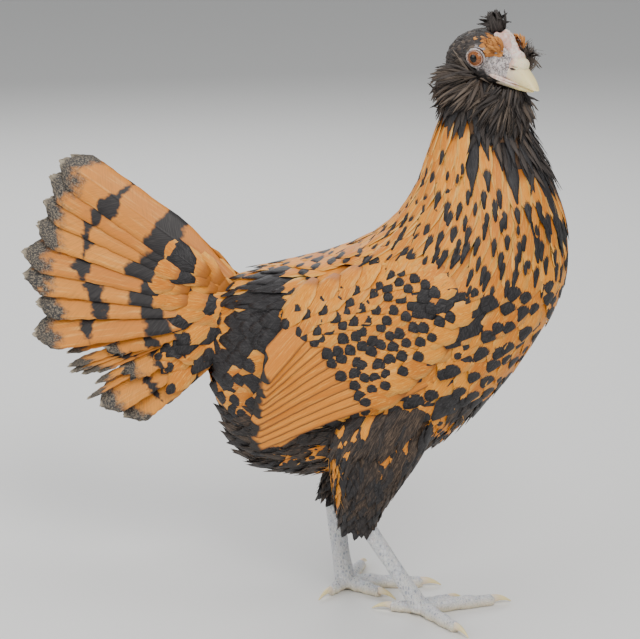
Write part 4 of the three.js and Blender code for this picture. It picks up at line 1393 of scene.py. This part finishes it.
roots |= {
    "dark": np.where(is_rusty, 0.0, np.where(draw.uniform(0, 1, n) < 0.2, 0.5, 1.0)),
    "bake": np.stack([0.75 + turn / 40, 0.85 + t * 0.1, 0 * t], -1),
}
coat("head feathers", roots, small_vane, downy, "dark_plumage")
roots["size"] = roots["size"] * (2.4, 1.15, 1.5)
roots["aim"] = unit(roots["aim"] + 0.3 * roots["out"])
coat("head wisps", roots, wisp, downy, "dark_plumage")


# Locks or wisps on a rounded form: its middle and half sizes, how far up and round they grow from, how
# they fall, then how long, wide and close they are.
def bush(name, centre, axes, rise, around, fall, lock, seed, pattern, shade, bake_at, *nodes):
    long, wide, gap = lock
    draw = np.random.default_rng(seed)
    up = np.radians(draw.uniform(*rise, 2500))
    turn = np.radians(draw.uniform(*around, 2500))
    way = np.stack([np.cos(up) * np.cos(turn), np.cos(up) * np.sin(turn), np.sin(up)], -1)
    here = np.array(centre) + way * np.array(axes)
    keep = spread(here, gap + 0 * up, seed)
    here, way = here[keep], way[keep]
    n = len(here)
    lie = unit(way * 0.55 + np.array(fall) + draw.normal(0, 0.16, here.shape))
    roots = {
        "at": in_head(here),
        "aim": lie @ turn_head,
        "out": way @ turn_head,
        "size": np.repeat([[wide, long, long]], n, 0) * draw.uniform(0.75, 1.2, (n, 1)),
        "tone": draw.uniform(0, 1, n),
        "mark": np.ones(n),
        "dark": np.where(draw.uniform(0, 1, n) < shade, 0.5 if shade < 1 else 0.0, 1.0),
        "bake": np.stack([bake_at[0] + turn[keep] / 90, bake_at[1] + up[keep] / 60, 0 * turn[keep]], -1),
    }
    coat(name, roots, pattern, downy, "dark_plumage", *nodes)


ALL_ROUND = (-180, 180)
chin_form = (16, 0, -17), (12, 9.5, 5), (-90, 25), ALL_ROUND, (-0.2, 0, -0.8)
bush("chin", *chin_form, (12, 2.0, 1.5), 59, lock_vane, 0.3, (0.8, 0.52))
beard_form = (12, 0, -30), (15, 13, 13), (-85, 55), (-160, 160), (-0.3, 0, -0.8)
bush("beard", *beard_form, (20, 2.1, 1.7), 61, lock_vane, 0.3, (0.8, 0.6), "beard")
beard_veil = (13, 0, -30), (16, 14.5, 13), (-85, 50), (-160, 160), (-0.25, 0, -0.75)
bush("beard wisps", *beard_veil, (22, 11, 2.5), 62, wisp, 0.4, (0.8, 0.68))
for sign, side in ((-1, "right"), (1, "left")):
    span = (0, 210) if sign > 0 else (-210, 0)
    muff_at = (-10, sign * 12, -21)
    muff_form = muff_at, (16, 8.5, 14), (-85, 62), span, (-0.75, 0, -0.7)
    muff_bake = (0.8, 0.74 + 0.05 * sign)
    bush(f"muff {side}", *muff_form, (20, 2.0, 1.6), 63, lock_vane, 0.6, muff_bake, f"muff_{side}")
    muff_veil = muff_at, (16, 9, 14), (-85, 58), span, (-0.7, 0, -0.6)
    bush(f"muff wisps {side}", *muff_veil, (22, 10, 2.4), 64, wisp, 0.65, (0.9, 0.74 + 0.05 * sign))
    brow_form = (11, sign * 8, 8), (7, 4, 6), (-10, 80), span, (-0.6, sign * 0.15, 0.25)
    bush(f"brow {side}", *brow_form, (6, 1.7, 1.2), 67, small_vane, 1.0, (0.7, 0.9 + 0.02 * sign))
cheek_form = (6, 16, -6), (8, 6, 9), (-50, 60), (20, 160)
bush("far cheek", *cheek_form, (-0.1, 0.6, 0.5), (15, 1.5, 2.2), 68, lock_vane, 0.6, (0.85, 0.8))
bush("far cheek wisps", *cheek_form, (-0.1, 0.55, 0.5), (18, 9, 1.9), 69, wisp, 0.95, (0.85, 0.84))
bib_roots["dark"] = np.where(bib_roots["tone"] < 0.25, 0.5, 1.0)
coat("bib", bib_roots, lock_vane, downy, "dark_plumage")
bib_roots["size"] = bib_roots["size"] * (3.6, 1.1, 0.8)
coat("bib wisps", bib_roots, wisp, downy, "dark_plumage")
crest_form = (1.5, 0, 15.5), (5.5, 5.5, 5), (5, 90), ALL_ROUND, (-0.25, 0, 0.5)
bush("crest", *crest_form, (12, 3.6, 1.7), 65, lock_vane, 0.0, (0.9, 0.9), "crest")
bush("crest wisps", *crest_form, (13, 8, 2.4), 66, wisp, 0.1, (0.93, 0.95))

# Legs and feet
# Bare and scaled below the hock: small pebbled scales, pale with grey blue mottling, broader plates
# along the top of each toe, soft pads beneath, and a curved horn claw at each tip.
SHANKS = {
    "right": [(-11, -28, 68), (-3, -28, 56), (15, -27, 29), (26, -26, 12), (30, -25, 3)],
    "left": [(-36, 15, 68), (-36, 13.5, 57), (-32, 11, 28), (-29, 10, 11), (-28, 10, 3)],
}
SHANK_SIZE = [(6.5, 6), (6.6, 5.4), (6.2, 5), (7, 6.2), (7.2, 7.4)]
TOES = {
    "right": ((30, -25), {"middle": (87, 8), "outer": (68, -61), "inner": (54, 7), "back": (-3, -24)}),
    "left": ((-28, 10), {"middle": (36, 27), "outer": (-23, 61), "inner": (10, -6), "back": (-41, -18)}),
}
TOE_RADIUS = {"middle": 4.9, "outer": 4.6, "inner": 4.6, "back": 4.1}
CLAW_LONG, CLAW_ROOT = 13, 3

scales, shader, s = finish_named("mottled leg scales", 0.5, Subsurface_Weight=0.05, Subsurface_Scale=0.001)
place = own_place(s)
drawn_out = s.node("ShaderNodeMapping", {"Vector": place, "Scale": (1.0, 1.0, 0.6)})
pebbling = {"Vector": drawn_out, "Scale": 520.0, "Randomness": 0.7}
cells = s.node("ShaderNodeTexVoronoi", pebbling, feature="DISTANCE_TO_EDGE")
shades = s.node("ShaderNodeTexVoronoi", pebbling, out=1)
grain = noise_on(s, place, 150.0, 3.0)
pick = s.node("ShaderNodeSeparateColor", {0: shades})
fleck = (cells.between(0.1, 0.3) * (pick * 0.5 + grain * 0.8).between(0.45, 0.75)) * 0.75
tint = grain.between(0.35, 0.65).mix((0.66, 0.67, 0.7), (0.8, 0.79, 0.77))
tint = fleck.mix(tint, (0.22, 0.24, 0.3))
tint = (cells.between(0.06, 0.0) * 0.45).mix(tint, (0.3, 0.3, 0.33))
height = place.node("ShaderNodeSeparateXYZ", {0: place}, out=2)
into(shader, "Base Color", (height.between(0.0075, 0.002) * 0.8).mix(tint, (0.8, 0.7, 0.5)))
raised(s, shader, cells.between(0.0, 0.12), 0.7, 0.0006)


# A toe with its pads and the plates along its top, and what its claw needs to follow on from it.
def toe_rings(side, toe):
    (ax, ay), tips = TOES[side]
    tip = tips[toe]
    run = np.array([tip[0] - ax, tip[1] - ay, 0.0])
    whole = np.linalg.norm(run)
    run /= whole
    long = whole - CLAW_LONG
    across = np.array([-run[1], run[0], 0])
    radius = TOE_RADIUS[toe]
    turn = full_turn(24)
    rings = []
    for t in np.linspace(0, 1, 54):
        pad = 1 + 0.07 * math.cos(t * math.pi * 6)
        size = radius * (1.12 - 0.32 * t) * pad * (1 - 0.25 * smooth_step(0.94, 1.0, t))
        plate = 1 + 0.035 * np.abs(np.sin(t * long / 3.1 * math.pi)) * np.clip(np.sin(turn), 0, 1)
        p = np.array([ax, ay, 5.4 - 2.0 * t]) + run * long * t
        ring_at = p + across * (np.cos(turn) * size * plate)[:, None]
        ring_at[:, 2] += np.sin(turn) * size * plate
        ring_at[:, 2] = np.maximum(ring_at[:, 2], 0.0)
        rings.append(ring_at)
    return rings, run, across, long, np.array([ax, ay, 0.0]), radius


# Shallow steps down the front of the shank, where its broad scales overlap.
def scale_steps(t, turn):
    return 1 + 0.012 * np.sin(t * 150) * np.clip(np.cos(turn), 0, 1)


for side in ("right", "left"):
    shank_rows = ring_rows(SHANKS[side], SHANK_SIZE, *LEG_AXES, 70, 40, scale_steps)
    shank = tube(f"shank {side}", shank_rows)
    shank.data.materials.append(scales)
    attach(shank, "root")
    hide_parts(f"shank_{side}")
    for toe in ("middle", "outer", "inner", "back"):
        rings, run, across, long, ankle, radius = toe_rings(side, toe)
        skin_of_toe = tube(f"{toe} toe {side}", rings)
        skin_of_toe.data.materials.append(scales)
        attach(skin_of_toe, "root")
        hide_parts(f"toe_{toe}_{side}")
        turn = full_turn(20)
        claw = []
        for t in np.linspace(0, 1, 24):
            p = ankle + run * (long - CLAW_ROOT + (CLAW_LONG + CLAW_ROOT) * t)
            p[2] = 3.8 + 1.3 * math.sin(math.pi * t) - 2.6 * t**2
            wide = radius * 0.52 * (1 - t**1.3) + 0.35 * t**1.3
            high = radius * 0.66 * (1 - t**1.2) + 0.4 * t**1.2
            ring_at = p + across * (np.cos(turn) * wide)[:, None]
            ring_at[:, 2] += np.sin(turn) * high
            claw.append(ring_at)
        nail = tube(f"{toe} claw {side}", claw)
        nail.data.materials.append(horn)
        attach(nail, "root")
        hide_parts(f"claw_{toe}_{side}")

for pattern in (breast_vane, hackle_vane, shaggy_vane, fluff_tuft, covert_vane, small_vane, lock_vane, wisp):
    bpy.data.objects.remove(pattern)

# Studio
# A plain pale floor, soft lamps round the bird, and the camera a little ahead of its right side. It
# looks down a little, from where the model's outlines fall as they do in the picture it was built from.
FLOOR_HALF = 40000
corners = ((-1, -1), (1, -1), (1, 1), (-1, 1))
floor = mesh_object("floor", [(x * FLOOR_HALF, y * FLOOR_HALF, 0) for x, y in corners], [(0, 1, 2, 3)])
floor_finish, shader, s = finish_named("pale floor", roughness=0.8)
shader.inputs["Base Color"].default_value = (0.78, 0.78, 0.77, 1)
floor.data.materials.append(floor_finish)


def lamp(name, at, power, size, tint=(1, 1, 1)):
    light = bpy.data.lights.new(name, "AREA")
    light.energy, light.size, light.color = power, size, tint
    holder = bpy.data.objects.new(name, light)
    bpy.context.scene.collection.objects.link(holder)
    holder.location = at
    aim_at = Vector((0, 0, 0.22))
    holder.rotation_euler = (aim_at - Vector(at)).to_track_quat("-Z", "Y").to_euler()


lamp("key", (0.7, -1.3, 1.5), 26, 0.9, (1, 0.98, 0.95))
lamp("fill", (-1.3, -1.0, 0.9), 12, 1.2)
lamp("back", (-0.6, 1.4, 1.2), 14, 1.0)
lamp("top", (0.1, 0.1, 1.9), 12, 1.4)
world = bpy.data.worlds.new("studio")
world.use_nodes = True
world.node_tree.nodes["Background"].inputs["Color"].default_value = (0.74, 0.75, 0.76, 1)
world.node_tree.nodes["Background"].inputs["Strength"].default_value = 0.55
bpy.context.scene.world = world

CAMERA_TURN, CAMERA_RISE, CAMERA_FAR = math.radians(12), math.radians(15), 1.5
SENSOR, FOCAL_PIXELS, PICTURE_PIXELS = 36, 2250, 640
LOOK_AT = Vector(OFFSET) + Vector((-0.044, 0, 0.194))
level = math.cos(CAMERA_RISE)
away = Vector((math.sin(CAMERA_TURN) * level, -math.cos(CAMERA_TURN) * level, math.sin(CAMERA_RISE)))
lens = bpy.data.cameras.new("camera")
lens.sensor_width, lens.lens = SENSOR, SENSOR * FOCAL_PIXELS / PICTURE_PIXELS
lens.clip_start, lens.clip_end = 0.05, 50
camera = bpy.data.objects.new("camera", lens)
camera.location = LOOK_AT + away * CAMERA_FAR
camera.rotation_euler = (-away).to_track_quat("-Z", "Y").to_euler()
bpy.context.scene.collection.objects.link(camera)
bpy.context.scene.camera = camera
